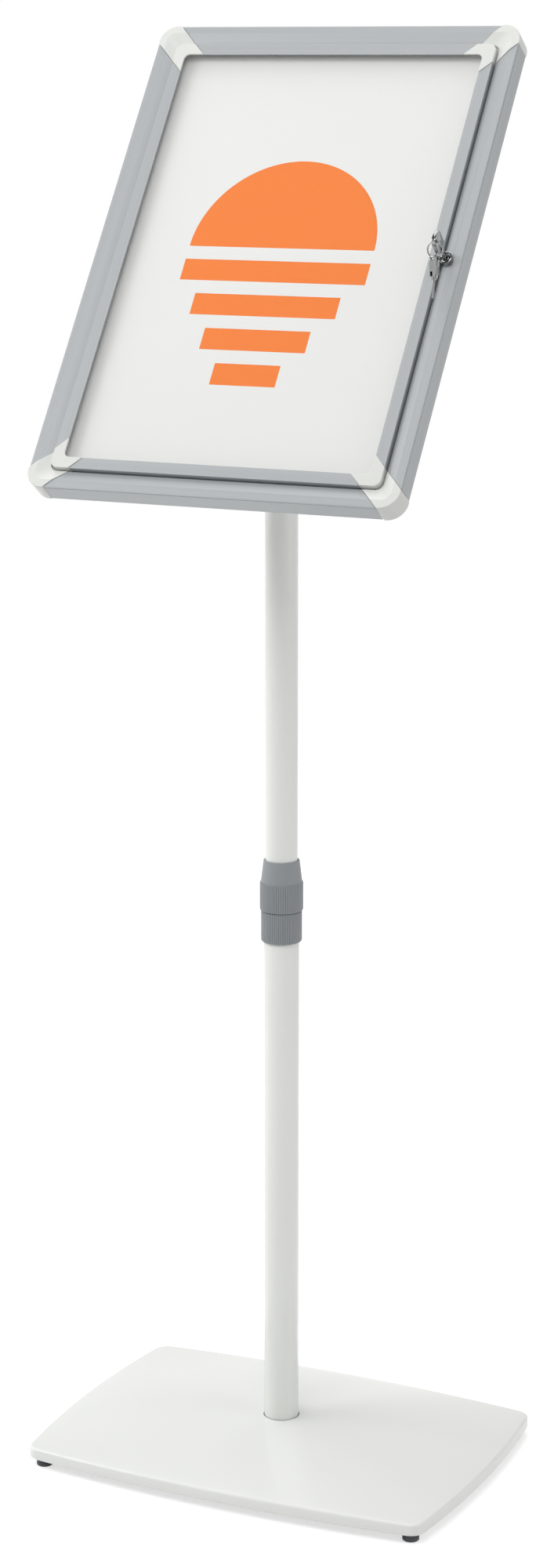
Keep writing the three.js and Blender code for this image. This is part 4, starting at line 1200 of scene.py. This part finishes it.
class MakeKeys(bpy.types.Operator):
    """Two folding keys and the split ring that joins them"""

    bl_idname = "stand.make_keys"
    bl_label = "Keys"

    def execute(self, context):
        rows = [
            ("key_blade", "key", "nickel", "bright_nickel"), ("key_rivet", "key", "zinc", "zinc_steel"),
            ("key_bow", "bow", "nickel", "bright_nickel"),
            ("spare_key_blade", "spare_blade", "nickel", "bright_nickel"),
            ("spare_key_bow", "spare_bow", "nickel", "bright_nickel"),
            ("spare_key_rivet", "spare_bow", "zinc", "zinc_steel"),
        ]
        dress_copies(rows, TINY_ROUND)
        ring = split_ring("split_ring")
        smooth(ring)
        dress(ring, "ring", finish("nickel"), "key_ring")
        return {"FINISHED"}


# Stage
def floor_finish():
    """Pale floor that glows to the camera and in reflections, and keeps the shadow."""
    material, tree, shader = start_finish("Pale floor")
    group = add_node(tree, "ShaderNodeGroup", node_tree=grain_group())
    darker, lighter = ((tone, tone, tone) for tone in FLOOR_TONES)
    shade = mix_colours(tree, group.outputs["Tone"], darker, lighter)
    tree.links.new(shade, shader.inputs["Base Color"])
    shader.inputs["Roughness"].default_value = FLOOR_ROUGHNESS
    path = add_node(tree, "ShaderNodeLightPath")
    seen = number(tree, "MAXIMUM", path.outputs["Is Camera Ray"], path.outputs["Is Transmission Ray"])
    seen = number(tree, "MAXIMUM", seen, path.outputs["Is Glossy Ray"])
    glow = number(tree, "MULTIPLY", seen, FLOOR_GLOW)
    shader.inputs["Emission Color"].default_value = (1, 1, 1, 1)
    tree.links.new(glow, shader.inputs["Emission Strength"])
    return material


def make_world(surround):
    """White to the camera, dimmer overhead in reflections, and softer as light."""
    world = bpy.data.worlds.new("Studio surround")
    bpy.context.scene.world = world
    world.use_nodes = True
    tree = world.node_tree
    background = tree.nodes["Background"]
    background.inputs["Color"].default_value = (1, 1, 1, 1)
    path = add_node(tree, "ShaderNodeLightPath")
    seen = number(tree, "MAXIMUM", path.outputs["Is Camera Ray"], path.outputs["Is Transmission Ray"])
    split = add_node(tree, "ShaderNodeSeparateXYZ")
    tree.links.new(add_node(tree, "ShaderNodeTexCoord").outputs["Generated"], split.inputs["Vector"])
    height = add_node(tree, "ShaderNodeMapRange")
    tree.links.new(split.outputs["Z"], height.inputs["Value"])
    set_inputs(height, From_Min=CEILING_START, From_Max=CEILING_FULL, To_Min=1.0, To_Max=CEILING_SHARE)
    glossy = path.outputs["Is Glossy Ray"]
    direct = number(tree, "MAXIMUM", seen, number(tree, "MULTIPLY", glossy, height.outputs["Result"]))
    rest = number(tree, "SUBTRACT", 1.0, number(tree, "MAXIMUM", seen, glossy))
    light = number(tree, "MULTIPLY", rest, surround)
    tree.links.new(number(tree, "ADD", direct, light), background.inputs["Strength"])


def aim(thing, place, target):
    """Puts a lamp or a camera in its place and turns it to its target."""
    thing.location = place
    thing.rotation_euler = (Vector(target) - Vector(place)).to_track_quat("-Z", "Y").to_euler()


class MakeStage(bpy.types.Operator):
    """Pale floor, soft lamps and the camera at the photograph's angle"""

    bl_idname = "stand.make_stage"
    bl_label = "Stage"

    def execute(self, context):
        settings = context.scene.stand_stage
        deselect_all()
        bpy.ops.mesh.primitive_plane_add(size=2 * FLOOR_HALF)
        floor = context.object
        floor.name = "studio_floor"
        floor.data.materials.append(floor_finish())
        make_world(settings.surround)
        for name, place, wide, tall, power in LAMPS:
            data = bpy.data.lights.new(name, "AREA")
            data.shape = "RECTANGLE"
            data.size, data.size_y = wide, tall
            data.energy = power * settings.lamp_level
            lamp = bpy.data.objects.new(name, data)
            lamp.visible_camera = False
            context.scene.collection.objects.link(lamp)
            aim(lamp, place, LAMP_TARGET)
        data = bpy.data.cameras.new("photo_camera")
        data.lens = settings.lens
        data.sensor_width = CAMERA_SENSOR
        camera = bpy.data.objects.new("photo_camera", data)
        context.scene.collection.objects.link(camera)
        aim(camera, CAMERA_PLACE, CAMERA_TARGET)
        context.scene.camera = camera
        context.scene.view_settings.view_transform = "Standard"
        return {"FINISHED"}


OPERATORS = (
    MakeStage, MakeFoot, MakePads, MakeTubes, MakeCollar, MakeHeadFittings, MakeFrame, MakeDoor,
    MakeSheet, MakeLock, MakeKeys, DressHiddenParts,
)


class StandPanel(bpy.types.Panel):
    """Lists the pieces that can be made"""

    bl_idname = "VIEW3D_PT_notice_board_stand"
    bl_label = "Notice board stand"
    bl_space_type = "VIEW_3D"
    bl_region_type = "UI"
    bl_category = "Notice board"

    def draw(self, context):
        for operator in OPERATORS:
            self.layout.operator(operator.bl_idname)
        for group in (context.scene.stand_sizes, context.scene.stand_colours, context.scene.stand_stage):
            for name in group.__annotations__:
                self.layout.prop(group, name)


CLASSES = (StandSizes, StandColours, StageSettings, *OPERATORS, StandPanel)


def register():
    for item in CLASSES:
        bpy.utils.register_class(item)
    bpy.types.Scene.stand_sizes = PointerProperty(type=StandSizes)
    bpy.types.Scene.stand_colours = PointerProperty(type=StandColours)
    bpy.types.Scene.stand_stage = PointerProperty(type=StageSettings)


def unregister():
    del bpy.types.Scene.stand_stage
    del bpy.types.Scene.stand_colours
    del bpy.types.Scene.stand_sizes
    for item in reversed(CLASSES):
        bpy.utils.unregister_class(item)


def main():
    register()
    for operator in OPERATORS:
        group, name = operator.bl_idname.split(".")
        getattr(getattr(bpy.ops, group), name)()


if __name__ == "__main__":
    main()
